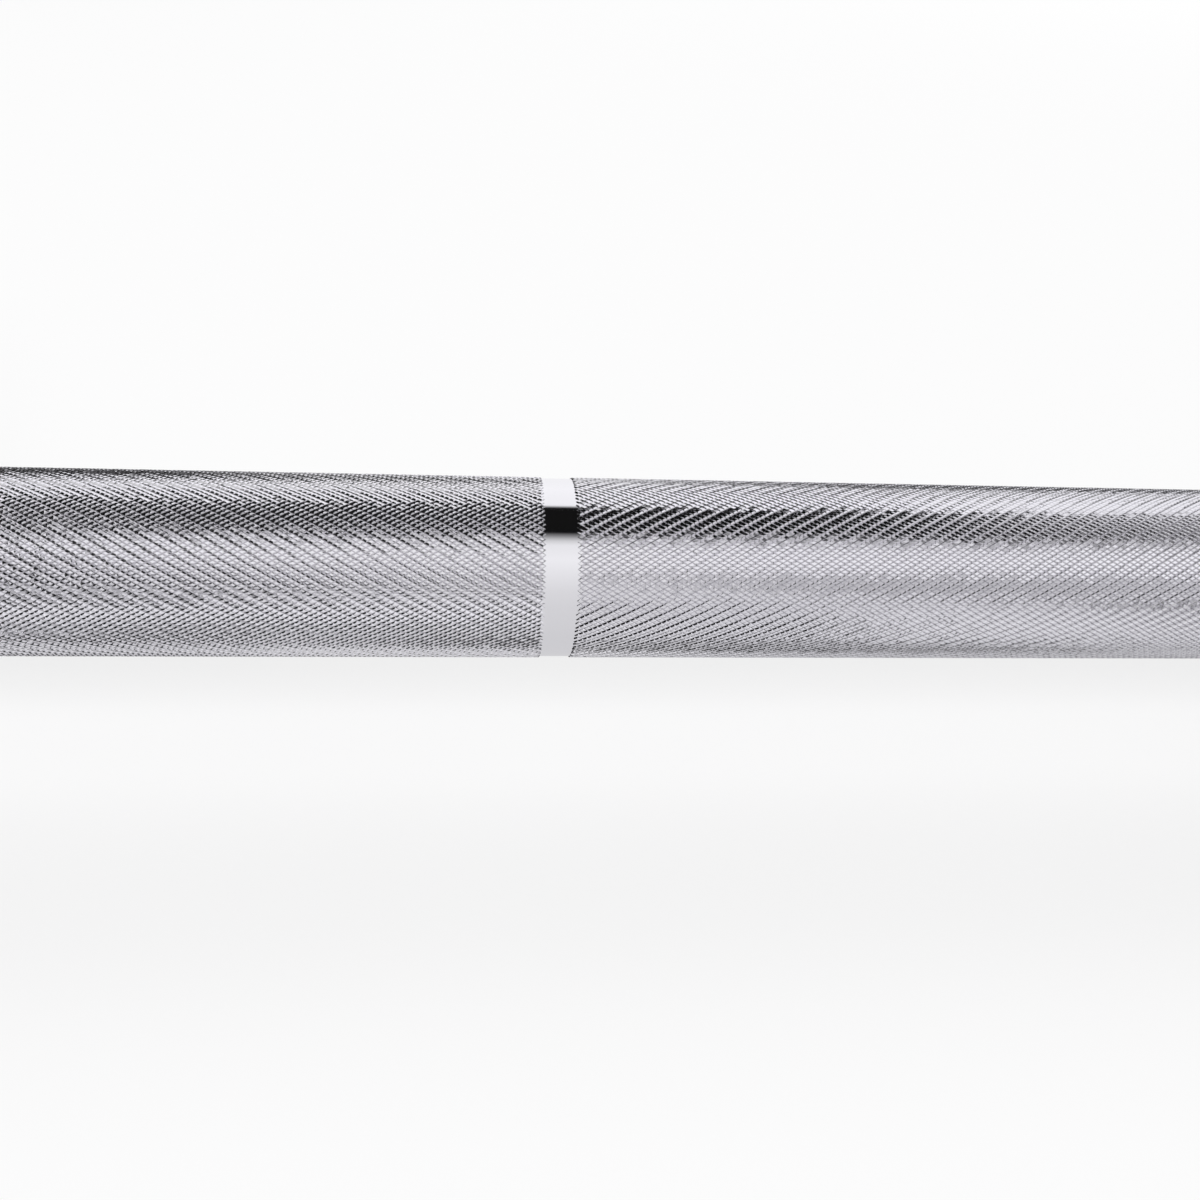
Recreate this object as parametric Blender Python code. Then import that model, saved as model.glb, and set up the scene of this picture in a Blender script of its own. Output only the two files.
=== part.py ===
"""Safety squat bar: a cambered, knurled steel shaft with a padded yoke, two forward handles and two
turning plate sleeves.

Metres, +Z up. X runs along the bar, the handles point towards -Y, and the bar stands as it lies on a
floor: on its two sleeve collars and the rims of its two grips. The origin is on the floor under the
middle of the whole bar. "left" is the -X side and "right" the +X side.
"""

import math

import bmesh
import bpy
from mathutils import Matrix, Vector

# Gap kept between two pieces that seat, press or run on each other
SEAT_GAP = 0.0003

# Shaft: one solid bar, straight in the middle, cambered on both sides and straight again at the rack
SHAFT_DIAMETER = 0.030
CENTRE_LENGTH = 0.370
CAMBER_DROP = 0.070
CAMBER_FORWARD = 0.050
BEND_RADIUS = 0.075
BEND_ANGLE = math.radians(35)
COLLAR_SPAN = 1.310

# Knurled bands stand slightly proud of the plain bar, and a plain ring mark parts them
KNURL_RISE = 0.0002
KNURL_INNER_MARGIN = 0.015
KNURL_OUTER_MARGIN = 0.015
RING_MARK_X = 0.490
RING_MARK_WIDTH = 0.005

# Spigot: the turned-down end of the shaft that carries a sleeve
SPIGOT_DIAMETER = 0.025
SPIGOT_STEP_DEPTH = 0.009
END_CHAMFER = 0.0015
END_CLEARANCE = 0.006
GROOVE_DEPTH = 0.0012
GROOVE_END_MARGIN = 0.005

# Sleeve: tube that carries the plates, with a collar shrunk on its inner end
SLEEVE_DIAMETER = 0.050
SLEEVE_WALL = 0.007
SLEEVE_CHAMFER = 0.002
LOAD_LENGTH = 0.415
COLLAR_DIAMETER = 0.078
COLLAR_WIDTH = 0.026
COLLAR_LIP = 0.005
COLLAR_BACK_CHAMFER = 0.005
COLLAR_FACE_CHAMFER = 0.001
COLLAR_MOUTH_CLEARANCE = 0.0006

# Bearing stack inside each sleeve
BUSHING_LENGTH = 0.030
WASHER_THICKNESS = 0.002
WASHER_EDGE_CLEARANCE = 0.0008
CIRCLIP_THICKNESS = 0.0016
CIRCLIP_WIDTH = 0.0032
CIRCLIP_GAP = math.radians(34)
CIRCLIP_LUG_ARC = math.radians(20)
CIRCLIP_LUG_WIDTH = 0.0018

# End cap: a turned plug with a rim round a shallow dish
CAP_PLUG_LENGTH = 0.014
CAP_FLANGE_DIAMETER = 0.046
CAP_FLANGE_THICKNESS = 0.0045
CAP_CHAMFER = 0.0012
CAP_DISH_DEPTH = 0.0015
CAP_RIM_WIDTH = 0.005

# Yoke rails: two tubes welded to the shaft that run forward and dip into the handles
RAIL_SPACING = 0.240
RAIL_DIAMETER = 0.025
RAIL_WALL = 0.003
RAIL_STRAIGHT = 0.235
RAIL_BEND_RADIUS = 0.060
RAIL_DIP = math.radians(25)
WELD_LEG = 0.0045
PLUG_DEPTH = 0.012
PLUG_HEAD = 0.0035

# Handle grips: ribbed rubber sleeves with a guard at the hand end and a rim at the tip
GRIP_LENGTH = 0.135
GRIP_DIAMETER = 0.033
GRIP_RIM_DIAMETER = 0.041
GRIP_RIM_WIDTH = 0.006
GRIP_RIB_PITCH = 0.0125
GRIP_RIB_DEPTH = 0.0009
GRIP_CHAMFER = 0.0012

# Yoke padding: three foam rolls in sewn covers, mitred where they meet at the rails
PAD_DIAMETER = 0.096
PAD_DRAW_IN = 0.005
PAD_END_ROUND = 0.009
PAD_MITRE_GAP = 0.0006
COVER_THICKNESS = 0.0022
SHOULDER_PAD_REACH = 0.222
WELD_POCKET_MARGIN = 0.0015

# Facets round each kind of round piece
SHAFT_FACETS = 24
SLEEVE_FACETS = 32
BUSHING_FACETS = 24
RAIL_FACETS = 20
PAD_FACETS = 24
BEND_STEPS = 6

# Sizes that follow from the ones above
SHAFT_RADIUS = SHAFT_DIAMETER / 2
SPIGOT_RADIUS = SPIGOT_DIAMETER / 2
SLEEVE_RADIUS = SLEEVE_DIAMETER / 2
BORE_RADIUS = SLEEVE_RADIUS - SLEEVE_WALL
COLLAR_RADIUS = COLLAR_DIAMETER / 2
RAIL_RADIUS = RAIL_DIAMETER / 2
RAIL_BORE_RADIUS = RAIL_RADIUS - RAIL_WALL
PAD_RADIUS = PAD_DIAMETER / 2
GRIP_RADIUS = GRIP_DIAMETER / 2
GRIP_RIM_RADIUS = GRIP_RIM_DIAMETER / 2
SLEEVE_END = COLLAR_WIDTH + LOAD_LENGTH
SPIGOT_END = SLEEVE_END - CAP_PLUG_LENGTH - END_CLEARANCE
GROOVE_WIDTH = CIRCLIP_THICKNESS + 2 * SEAT_GAP
GROOVE_START = SPIGOT_END - GROOVE_END_MARGIN - GROOVE_WIDTH
COLLAR_X = COLLAR_SPAN / 2
RAIL_X = RAIL_SPACING / 2
CAMBER = math.hypot(CAMBER_DROP, CAMBER_FORWARD)
CAMBER_WAY = Vector((0, -CAMBER_FORWARD, -CAMBER_DROP)) / CAMBER
FLOOR_DROP = CAMBER_DROP + COLLAR_RADIUS
# Along a rail's dipped part, where the grip's rim meets the floor
GRIP_TIP = (
    FLOOR_DROP - GRIP_RIM_RADIUS * math.cos(RAIL_DIP) - RAIL_BEND_RADIUS * (1 - math.cos(RAIL_DIP))
) / math.sin(RAIL_DIP)


def clear_scene():
    for leftover in list(bpy.data.objects):
        bpy.data.objects.remove(leftover)


def make_material(name, colour, roughness, metallic=0.0):
    made = bpy.data.materials.new(name)
    made.use_nodes = True
    shader = made.node_tree.nodes["Principled BSDF"]
    shader.inputs["Base Color"].default_value = (*colour, 1)
    shader.inputs["Roughness"].default_value = roughness
    shader.inputs["Metallic"].default_value = metallic
    return made


def make_empty(name, location, turn=0.0, parent=None):
    """An empty that carries a group of pieces, turned about Z."""
    made = bpy.data.objects.new(name, None)
    made.empty_display_size = 0.05
    made.location = location
    made.rotation_euler = (0, 0, turn)
    made.parent = parent
    bpy.context.scene.collection.objects.link(made)
    return made


def make_piece(name, mesh, material, parent, location=(0, 0, 0), rotation=(0, 0, 0)):
    if not mesh.materials:
        mesh.materials.append(material)
    made = bpy.data.objects.new(name, mesh)
    made.parent = parent
    made.location = location
    made.rotation_euler = rotation
    bpy.context.scene.collection.objects.link(made)
    return made


def cut(piece, cutter_name, mesh, location=(0, 0, 0), rotation=(0, 0, 0)):
    """Cuts a hidden solid out of a piece; the cutter's place is in the piece's parent's frame."""
    cutter = bpy.data.objects.new(cutter_name, mesh)
    cutter.parent = piece.parent
    cutter.location = location
    cutter.rotation_euler = rotation
    cutter.hide_render = True
    cutter.display_type = "WIRE"
    bpy.context.scene.collection.objects.link(cutter)
    modifier = piece.modifiers.new(cutter_name, "BOOLEAN")
    modifier.operation = "DIFFERENCE"
    modifier.solver = "EXACT"
    modifier.object = cutter


def mesh_from(bm, name, smooth_angle=math.radians(32)):
    """The finished mesh of a closed bmesh, with its faces out and its round parts smooth."""
    bmesh.ops.remove_doubles(bm, verts=bm.verts, dist=1e-6)
    bmesh.ops.recalc_face_normals(bm, faces=bm.faces)
    mesh = bpy.data.meshes.new(name)
    bm.to_mesh(mesh)
    bm.free()
    mesh.shade_smooth()
    mesh.set_sharp_from_angle(angle=smooth_angle)
    return mesh


def turned(name, profile, facets, bored=True):
    """A turned piece about X. profile is (x, radius) points: a loop if bored, else from axis to axis."""
    bm = bmesh.new()
    points = [bm.verts.new((x, 0, radius)) for x, radius in profile]
    pairs = list(zip(points, points[1:]))
    if bored:
        pairs.append((points[-1], points[0]))
    outline = [bm.edges.new(pair) for pair in pairs]
    bmesh.ops.spin(
        bm, geom=points + outline, cent=(0, 0, 0), axis=(1, 0, 0), angle=2 * math.pi, steps=facets
    )
    return mesh_from(bm, name)


def lofted(name, rings, loop=False):
    """A body through rings of points: capped at both ends, or joined end to end if it is a loop."""
    bm = bmesh.new()
    made = [[bm.verts.new(point) for point in ring] for ring in rings]
    following = made[1:] + [made[0]] if loop else made[1:]
    for ring, after in zip(made, following):
        for k in range(len(ring)):
            n = (k + 1) % len(ring)
            bm.faces.new((ring[k], ring[n], after[n], after[k]))
    if not loop:
        bm.faces.new(made[0])
        bm.faces.new(made[-1])
    return mesh_from(bm, name)


def circle(centre, across, up, radius, facets):
    """Points of a circle in the plane of two unit vectors."""
    turns = [2 * math.pi * k / facets for k in range(facets)]
    return [centre + radius * (math.cos(t) * across + math.sin(t) * up) for t in turns]


def cylinder(name, start, end, radius, facets):
    """A plain cylinder along X."""
    return turned(name, [(start, 0), (start, radius), (end, radius), (end, 0)], facets, bored=False)


def bend_angles():
    return [BEND_ANGLE * k / BEND_STEPS for k in range(BEND_STEPS + 1)]


def camber_run():
    """How far along X one side's camber takes, from the middle straight to the outer one."""
    slant = (CAMBER - 2 * BEND_RADIUS * (1 - math.cos(BEND_ANGLE))) / math.sin(BEND_ANGLE)
    return 2 * BEND_RADIUS * math.sin(BEND_ANGLE) + slant * math.cos(BEND_ANGLE)


def half_shaft_stations():
    """(x, camber, slope, radius) from the middle of the shaft to its right end."""
    bend_start = CENTRE_LENGTH / 2
    bend_end = bend_start + camber_run()
    stations = []
    for angle in bend_angles():
        x = bend_start + BEND_RADIUS * math.sin(angle)
        stations.append((x, BEND_RADIUS * (1 - math.cos(angle)), angle, SHAFT_RADIUS))
    for angle in reversed(bend_angles()):
        x = bend_end - BEND_RADIUS * math.sin(angle)
        stations.append((x, CAMBER - BEND_RADIUS * (1 - math.cos(angle)), angle, SHAFT_RADIUS))
    step = COLLAR_X + SPIGOT_STEP_DEPTH
    end = COLLAR_X + SPIGOT_END
    groove = COLLAR_X + GROOVE_START
    mark_start = RING_MARK_X - RING_MARK_WIDTH / 2
    mark_end = RING_MARK_X + RING_MARK_WIDTH / 2
    bands = (
        (bend_end + KNURL_INNER_MARGIN, mark_start),
        (mark_end, COLLAR_X - KNURL_OUTER_MARGIN),
    )
    for start, stop in bands:
        stations.append((start, CAMBER, 0, SHAFT_RADIUS))
        stations.append((start + KNURL_RISE, CAMBER, 0, SHAFT_RADIUS + KNURL_RISE))
        stations.append((stop - KNURL_RISE, CAMBER, 0, SHAFT_RADIUS + KNURL_RISE))
        stations.append((stop, CAMBER, 0, SHAFT_RADIUS))
    turned_end = (
        (step, SHAFT_RADIUS),
        (step, SPIGOT_RADIUS),
        (groove, SPIGOT_RADIUS),
        (groove, SPIGOT_RADIUS - GROOVE_DEPTH),
        (groove + GROOVE_WIDTH, SPIGOT_RADIUS - GROOVE_DEPTH),
        (groove + GROOVE_WIDTH, SPIGOT_RADIUS),
        (end - END_CHAMFER, SPIGOT_RADIUS),
        (end, SPIGOT_RADIUS - END_CHAMFER),
    )
    stations += [(x, CAMBER, 0, radius) for x, radius in turned_end]
    return stations


def shaft_mesh():
    half = half_shaft_stations()
    mirrored = [(-x, camber, -slope, radius) for x, camber, slope, radius in reversed(half)]
    along = Vector((1, 0, 0))
    aside = along.cross(CAMBER_WAY)
    rings = []
    for x, camber, slope, radius in mirrored + half:
        across = math.cos(slope) * CAMBER_WAY - math.sin(slope) * along
        rings.append(circle(x * along + camber * CAMBER_WAY, across, aside, radius, SHAFT_FACETS))
    return lofted("shaft", rings)


def rail_stations(length):
    """(centre, across) along a rail in the YZ plane, from the shaft's axis to its tip."""
    bend_centre = Vector((0, -RAIL_STRAIGHT, -RAIL_BEND_RADIUS))
    stations = [(Vector((0, 0, 0)), Vector((0, 0, 1)))]
    for k in range(BEND_STEPS + 1):
        angle = RAIL_DIP * k / BEND_STEPS
        across = Vector((0, -math.sin(angle), math.cos(angle)))
        stations.append((bend_centre + RAIL_BEND_RADIUS * across, across))
    centre, across = stations[-1]
    ahead = Vector((0, -math.cos(RAIL_DIP), -math.sin(RAIL_DIP)))
    stations.append((centre + length * ahead, across))
    return stations


def rail_mesh():
    stations = rail_stations(GRIP_TIP)
    aside = Vector((1, 0, 0))
    outer = [circle(p, aside, across, RAIL_RADIUS, RAIL_FACETS) for p, across in stations]
    inner = [circle(p, aside, across, RAIL_BORE_RADIUS, RAIL_FACETS) for p, across in stations]
    return lofted("rail", outer + inner[::-1], loop=True)


def weld_mesh():
    """A fillet weld along the saddle curve where a rail meets the shaft, three-cornered in section."""
    rings = []
    for k in range(RAIL_FACETS):
        t = 2 * math.pi * k / RAIL_FACETS
        out = Vector((math.cos(t), 0, math.sin(t)))
        height = RAIL_RADIUS * math.sin(t)
        root = Vector((RAIL_RADIUS * out.x, -math.sqrt(SHAFT_RADIUS**2 - height**2), height))
        normal = Vector((0, root.y, root.z)).normalized()
        along_shaft = (out - out.dot(normal) * normal).normalized()
        root += SEAT_GAP * (along_shaft + out + normal)
        forward = Vector((0, -1, 0))
        rings.append([root, root + WELD_LEG * along_shaft, root + WELD_LEG * forward])
    return lofted("rail_weld", rings, loop=True)


def grip_mesh():
    """Grip along X with its tip rim at x = 0 and its hand end at -GRIP_LENGTH."""
    bore = RAIL_RADIUS + SEAT_GAP
    profile = [(-GRIP_LENGTH, bore), (-GRIP_LENGTH, GRIP_RIM_RADIUS - GRIP_CHAMFER)]
    profile.append((-GRIP_LENGTH + GRIP_CHAMFER, GRIP_RIM_RADIUS))
    profile.append((-GRIP_LENGTH + GRIP_RIM_WIDTH, GRIP_RADIUS))
    span = GRIP_LENGTH - 2 * GRIP_RIM_WIDTH
    ribs = max(1, int(span / GRIP_RIB_PITCH))
    pitch = span / ribs
    for k in range(ribs):
        start = -GRIP_LENGTH + GRIP_RIM_WIDTH + k * pitch
        profile.append((start + 0.35 * pitch, GRIP_RADIUS))
        profile.append((start + 0.5 * pitch, GRIP_RADIUS - GRIP_RIB_DEPTH))
        profile.append((start + 0.65 * pitch, GRIP_RADIUS))
    profile.append((-GRIP_RIM_WIDTH, GRIP_RADIUS))
    profile += [(-GRIP_RIM_WIDTH / 2, GRIP_RIM_RADIUS), (0, GRIP_RIM_RADIUS), (0, bore)]
    return turned("grip", profile, RAIL_FACETS)


def rail_plug_mesh():
    """Plug in the rail's open tip: a shank in the bore and a domed head over the tube's end."""
    shank = RAIL_BORE_RADIUS - SEAT_GAP
    head = RAIL_RADIUS
    profile = [(-PLUG_DEPTH, 0), (-PLUG_DEPTH, shank), (SEAT_GAP, shank), (SEAT_GAP, head)]
    for share, rise in ((1.0, 0.4), (0.82, 0.75), (0.5, 0.95)):
        profile.append((SEAT_GAP + PLUG_HEAD * rise, head * share))
    profile.append((SEAT_GAP + PLUG_HEAD, 0))
    return turned("rail_plug", profile, RAIL_FACETS, bored=False)


def roll_radius(radius, share):
    """A stuffed roll is fullest along its middle and drawn in at its seams; share runs from 0 to 1."""
    return radius - PAD_DRAW_IN * abs(2 * share - 1) ** 5


COVER_SHARES = (0.0, 0.04, 0.15, 0.5, 0.85, 0.96, 1.0)
FOAM_SHARES = (0.0, 0.15, 0.5, 0.85, 1.0)


def neck_roll_mesh(name, inset, shares):
    """Roll about the shaft between the two mitre planes, shrunk by inset on every side."""
    up, back = Vector((0, 0, 1)), Vector((0, 1, 0))
    seam = RAIL_X - (PAD_MITRE_GAP / 2 + inset) * math.sqrt(2)
    rings = []
    for share in shares:
        radius = roll_radius(PAD_RADIUS, share) - inset
        ring = circle(Vector((0, 0, 0)), back, up, radius, PAD_FACETS)
        rings.append([Vector(((2 * share - 1) * (seam + point.y), point.y, point.z)) for point in ring])
    return lofted(name, rings)


def shoulder_roll_mesh(name, side, inset, shares):
    """Roll about a rail at x = 0, from the mitre plane forward to a rounded end, shrunk by inset."""
    up, out = Vector((0, 0, 1)), Vector((side, 0, 0))
    seam = -(PAD_MITRE_GAP / 2 + inset) * math.sqrt(2)
    front = -SHOULDER_PAD_REACH + inset
    rings = []
    for share in shares:
        radius = roll_radius(PAD_RADIUS, share) - inset
        ring = circle(Vector((0, 0, 0)), out, up, radius, PAD_FACETS)
        for point in ring:
            shoulder = front + PAD_END_ROUND
            point.y = (1 - share) * (seam + side * point.x) + share * shoulder
        rings.append(ring)
    for tuck, rise in ((0.35, 0.75), (1.0, 1.0)):
        radius = roll_radius(PAD_RADIUS, 1.0) - inset - PAD_END_ROUND * tuck
        centre = Vector((0, front + PAD_END_ROUND * (1 - rise), 0))
        rings.append(circle(centre, out, up, radius, PAD_FACETS))
    return lofted(name, rings)


def cut_shaft_way(piece):
    """The shaft's way through a pad, along X."""
    way = cylinder("shaft_way", -PAD_RADIUS, PAD_RADIUS, SHAFT_RADIUS + SEAT_GAP, SHAFT_FACETS)
    way.transform(Matrix.Diagonal((2 + RAIL_X / PAD_RADIUS, 1, 1, 1)))
    cut(piece, piece.name + "_shaft_way", way)


def cut_rail_way(piece, side):
    """A rail's way through a pad, along Y, with a wider pocket that starts behind the weld."""
    pocket = RAIL_RADIUS + WELD_LEG + 2 * SEAT_GAP + WELD_POCKET_MARGIN
    depth = SHAFT_RADIUS + WELD_LEG + 2 * SEAT_GAP + WELD_POCKET_MARGIN
    bore = RAIL_RADIUS + SEAT_GAP
    reach = SHOULDER_PAD_REACH + PAD_RADIUS
    back = -WELD_POCKET_MARGIN
    profile = [(back, 0), (back, pocket), (depth, pocket), (depth, bore), (reach, bore), (reach, 0)]
    way = turned("rail_way", profile, RAIL_FACETS, bored=False)
    turn = (0, 0, -math.pi / 2)
    cut(piece, piece.name + "_rail_way", way, (side * RAIL_X, 0, 0), turn)


def make_pads(yoke, vinyl, foam):
    inner = COVER_THICKNESS
    core = COVER_THICKNESS + SEAT_GAP
    cover = make_piece("neck_cover", neck_roll_mesh("neck_cover", 0, COVER_SHARES), vinyl, yoke)
    cut(cover, "neck_cover_hollow", neck_roll_mesh("neck_hollow", inner, COVER_SHARES))
    filling = make_piece("neck_foam", neck_roll_mesh("neck_foam", core, FOAM_SHARES), foam, yoke)
    for piece in (cover, filling):
        cut_shaft_way(piece)
        cut_rail_way(piece, -1)
        cut_rail_way(piece, 1)
    for name, side in (("left", -1), ("right", 1)):
        place = (side * RAIL_X, 0, 0)
        mesh = shoulder_roll_mesh(name + "_shoulder_cover", side, 0, COVER_SHARES)
        cover = make_piece(name + "_shoulder_cover", mesh, vinyl, yoke, place)
        hollow = shoulder_roll_mesh(name + "_shoulder_hollow", side, inner, COVER_SHARES)
        cut(cover, name + "_shoulder_cover_hollow", hollow, place)
        mesh = shoulder_roll_mesh(name + "_shoulder_foam", side, core, FOAM_SHARES)
        filling = make_piece(name + "_shoulder_foam", mesh, foam, yoke, place)
        for piece in (cover, filling):
            cut_shaft_way(piece)
            cut_rail_way(piece, side)


def make_rails(yoke, chrome, rubber, plastic):
    tube = rail_mesh()
    weld = weld_mesh()
    grip = grip_mesh()
    plug = rail_plug_mesh()
    tip = rail_stations(GRIP_TIP)[-1][0]
    turn = (0, RAIL_DIP, -math.pi / 2)
    for name, side in (("left", -1), ("right", 1)):
        rail = make_piece(name + "_rail", tube, chrome, yoke, (side * RAIL_X, 0, 0))
        saddle = cylinder("saddle", -RAIL_DIAMETER, RAIL_DIAMETER, SHAFT_RADIUS + SEAT_GAP, SHAFT_FACETS)
        cut(rail, name + "_rail_saddle", saddle, (side * RAIL_X, 0, 0))
        make_piece(name + "_rail_weld", weld, chrome, yoke, (side * RAIL_X, 0, 0))
        place = tip + Vector((side * RAIL_X, 0, 0))
        make_piece(name + "_grip", grip, rubber, yoke, place, turn)
        make_piece(name + "_rail_plug", plug, plastic, yoke, place, turn)


def sleeve_mesh():
    start = COLLAR_LIP + SEAT_GAP
    profile = [
        (start, BORE_RADIUS),
        (start, SLEEVE_RADIUS),
        (SLEEVE_END - SLEEVE_CHAMFER, SLEEVE_RADIUS),
        (SLEEVE_END, SLEEVE_RADIUS - SLEEVE_CHAMFER),
        (SLEEVE_END, BORE_RADIUS),
    ]
    return turned("sleeve", profile, SLEEVE_FACETS)


def collar_mesh():
    """Collar with a lip that closes the sleeve's inner end down to the shaft."""
    mouth = SHAFT_RADIUS + COLLAR_MOUTH_CLEARANCE
    seat = SLEEVE_RADIUS + SEAT_GAP
    profile = [
        (0, mouth),
        (0, COLLAR_RADIUS - COLLAR_BACK_CHAMFER),
        (COLLAR_BACK_CHAMFER, COLLAR_RADIUS),
        (COLLAR_WIDTH - COLLAR_FACE_CHAMFER, COLLAR_RADIUS),
        (COLLAR_WIDTH, COLLAR_RADIUS - COLLAR_FACE_CHAMFER),
        (COLLAR_WIDTH, seat),
        (COLLAR_LIP, seat),
        (COLLAR_LIP, mouth),
    ]
    return turned("collar", profile, SLEEVE_FACETS)


def ring_mesh(name, start, width, inner, outer):
    profile = [(start, inner), (start, outer), (start + width, outer), (start + width, inner)]
    return turned(name, profile, BUSHING_FACETS)


def circlip_mesh(start):
    """External retaining ring in the spigot's groove: open at the top, with a lug at each end."""
    inner = SPIGOT_RADIUS - GROOVE_DEPTH + SEAT_GAP
    outer = inner + CIRCLIP_WIDTH
    sweep = 2 * math.pi - CIRCLIP_GAP
    steps = 20
    bm = bmesh.new()
    rows = []
    for k in range(steps + 1):
        t = CIRCLIP_GAP / 2 + sweep * k / steps
        near_end = min(t - CIRCLIP_GAP / 2, 2 * math.pi - CIRCLIP_GAP / 2 - t) < CIRCLIP_LUG_ARC
        edge = outer + (CIRCLIP_LUG_WIDTH if near_end else 0)
        rows.append([(radius * math.sin(t), radius * math.cos(t)) for radius in (inner, edge)])
    corners = []
    for near, far in rows:
        corner = [(start, *near), (start, *far)]
        corner += [(start + CIRCLIP_THICKNESS, *far), (start + CIRCLIP_THICKNESS, *near)]
        corners.append([bm.verts.new(point) for point in corner])
    for now, after in zip(corners, corners[1:]):
        for k in range(4):
            bm.faces.new((now[k], now[(k + 1) % 4], after[(k + 1) % 4], after[k]))
    bm.faces.new(corners[0])
    bm.faces.new(corners[-1])
    return mesh_from(bm, "circlip")


def end_cap_mesh():
    flange = CAP_FLANGE_DIAMETER / 2
    plug = BORE_RADIUS - SEAT_GAP
    seat = SLEEVE_END + SEAT_GAP
    face = seat + CAP_FLANGE_THICKNESS
    profile = [
        (SLEEVE_END - CAP_PLUG_LENGTH, 0),
        (SLEEVE_END - CAP_PLUG_LENGTH, plug),
        (seat, plug),
        (seat, flange),
        (face - CAP_CHAMFER, flange),
        (face, flange - CAP_CHAMFER),
        (face, flange - CAP_RIM_WIDTH),
        (face - CAP_DISH_DEPTH, flange - CAP_RIM_WIDTH - CAP_DISH_DEPTH),
        (face - CAP_DISH_DEPTH, 0),
    ]
    return turned("end_cap", profile, SLEEVE_FACETS, bored=False)


def make_sleeves(bar, metals):
    """Both sleeves with their bearing stacks; each hangs on an empty on its own turning axis."""
    inner_washer = SPIGOT_STEP_DEPTH + SEAT_GAP
    inner_bushing = inner_washer + WASHER_THICKNESS + SEAT_GAP
    circlip = GROOVE_START + SEAT_GAP
    outer_washer = GROOVE_START - WASHER_THICKNESS
    outer_bushing = outer_washer - SEAT_GAP - BUSHING_LENGTH
    running = SPIGOT_RADIUS + SEAT_GAP
    pressed = BORE_RADIUS - SEAT_GAP
    free = BORE_RADIUS - WASHER_EDGE_CLEARANCE
    meshes = {
        "sleeve": (sleeve_mesh(), "chrome"),
        "collar": (collar_mesh(), "chrome"),
        "inner_washer": (
            ring_mesh("inner_washer", inner_washer, WASHER_THICKNESS, running, free), "steel"),
        "outer_washer": (
            ring_mesh("outer_washer", outer_washer, WASHER_THICKNESS, running, free), "steel"),
        "inner_bushing": (
            ring_mesh("inner_bushing", inner_bushing, BUSHING_LENGTH, running, pressed), "bronze"),
        "outer_bushing": (
            ring_mesh("outer_bushing", outer_bushing, BUSHING_LENGTH, running, pressed), "bronze"),
        "end_cap": (end_cap_mesh(), "chrome"),
    }
    retainer = circlip_mesh(circlip)
    for name, side in (("left", -1), ("right", 1)):
        place = Vector((side * COLLAR_X, 0, 0)) + CAMBER * CAMBER_WAY
        turn = 0 if side > 0 else math.pi
        axis = make_empty(name + "_sleeve_axis", place, turn, bar)
        for piece, (mesh, metal) in meshes.items():
            make_piece(f"{name}_{piece}", mesh, metals[metal], axis)
        fixed = make_empty(name + "_spigot_axis", place, turn, bar)
        make_piece(name + "_circlip", retainer, metals["spring_steel"], fixed)


def stand_on_floor(bar):
    """Sets the bar down so that the origin is on the floor under the middle of the whole bar."""
    bpy.context.view_layer.update()
    graph = bpy.context.evaluated_depsgraph_get()
    corners = []
    for piece in bpy.data.objects:
        if piece.type == "MESH" and not piece.hide_render:
            shown = piece.evaluated_get(graph)
            corners += [shown.matrix_world @ Vector(corner) for corner in shown.bound_box]
    low, high = ([pick(c[k] for c in corners) for k in range(3)] for pick in (min, max))
    bar.location = (0, -(low[1] + high[1]) / 2, -low[2])


def main():
    clear_scene()
    chrome = make_material("chrome", (0.62, 0.62, 0.64), 0.12, 1.0)
    metals = {
        "chrome": chrome,
        "steel": make_material("steel", (0.45, 0.45, 0.46), 0.35, 1.0),
        "spring_steel": make_material("spring_steel", (0.12, 0.12, 0.13), 0.4, 1.0),
        "bronze": make_material("bronze", (0.55, 0.36, 0.16), 0.35, 1.0),
    }
    vinyl = make_material("vinyl", (0.02, 0.02, 0.022), 0.5)
    foam = make_material("foam", (0.08, 0.08, 0.085), 0.95)
    rubber = make_material("rubber", (0.015, 0.015, 0.016), 0.75)
    plastic = make_material("plastic", (0.02, 0.02, 0.02), 0.45)
    bar = make_empty("safety_squat_bar", (0, 0, 0))
    yoke = make_empty("yoke", (0, 0, 0), parent=bar)
    make_piece("shaft", shaft_mesh(), chrome, bar)
    make_rails(yoke, chrome, rubber, plastic)
    make_pads(yoke, vinyl, foam)
    make_sleeves(bar, metals)
    stand_on_floor(bar)


main()
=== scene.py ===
import math

import bmesh
import bpy
import numpy as np
from mathutils.bvhtree import BVHTree
from mathutils import Matrix, Vector, noise


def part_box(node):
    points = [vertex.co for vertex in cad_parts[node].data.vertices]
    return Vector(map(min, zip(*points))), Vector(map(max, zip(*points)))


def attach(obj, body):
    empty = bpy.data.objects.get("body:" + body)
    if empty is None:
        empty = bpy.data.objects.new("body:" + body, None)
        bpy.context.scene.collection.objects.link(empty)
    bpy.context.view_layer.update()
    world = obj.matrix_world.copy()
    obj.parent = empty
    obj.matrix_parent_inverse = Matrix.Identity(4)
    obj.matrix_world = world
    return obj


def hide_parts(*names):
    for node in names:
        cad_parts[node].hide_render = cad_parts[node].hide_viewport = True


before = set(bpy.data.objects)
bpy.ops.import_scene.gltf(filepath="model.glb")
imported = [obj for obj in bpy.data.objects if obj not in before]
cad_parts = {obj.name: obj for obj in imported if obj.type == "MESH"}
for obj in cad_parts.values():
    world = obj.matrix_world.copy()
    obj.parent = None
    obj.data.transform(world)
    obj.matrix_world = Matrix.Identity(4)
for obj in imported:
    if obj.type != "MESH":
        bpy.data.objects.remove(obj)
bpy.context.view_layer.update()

# Shaft, as in the solids
SHAFT_RADIUS = 0.015
SPIGOT_RADIUS = 0.0125
CENTRE_LENGTH = 0.370
CAMBER_DROP = 0.070
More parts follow.
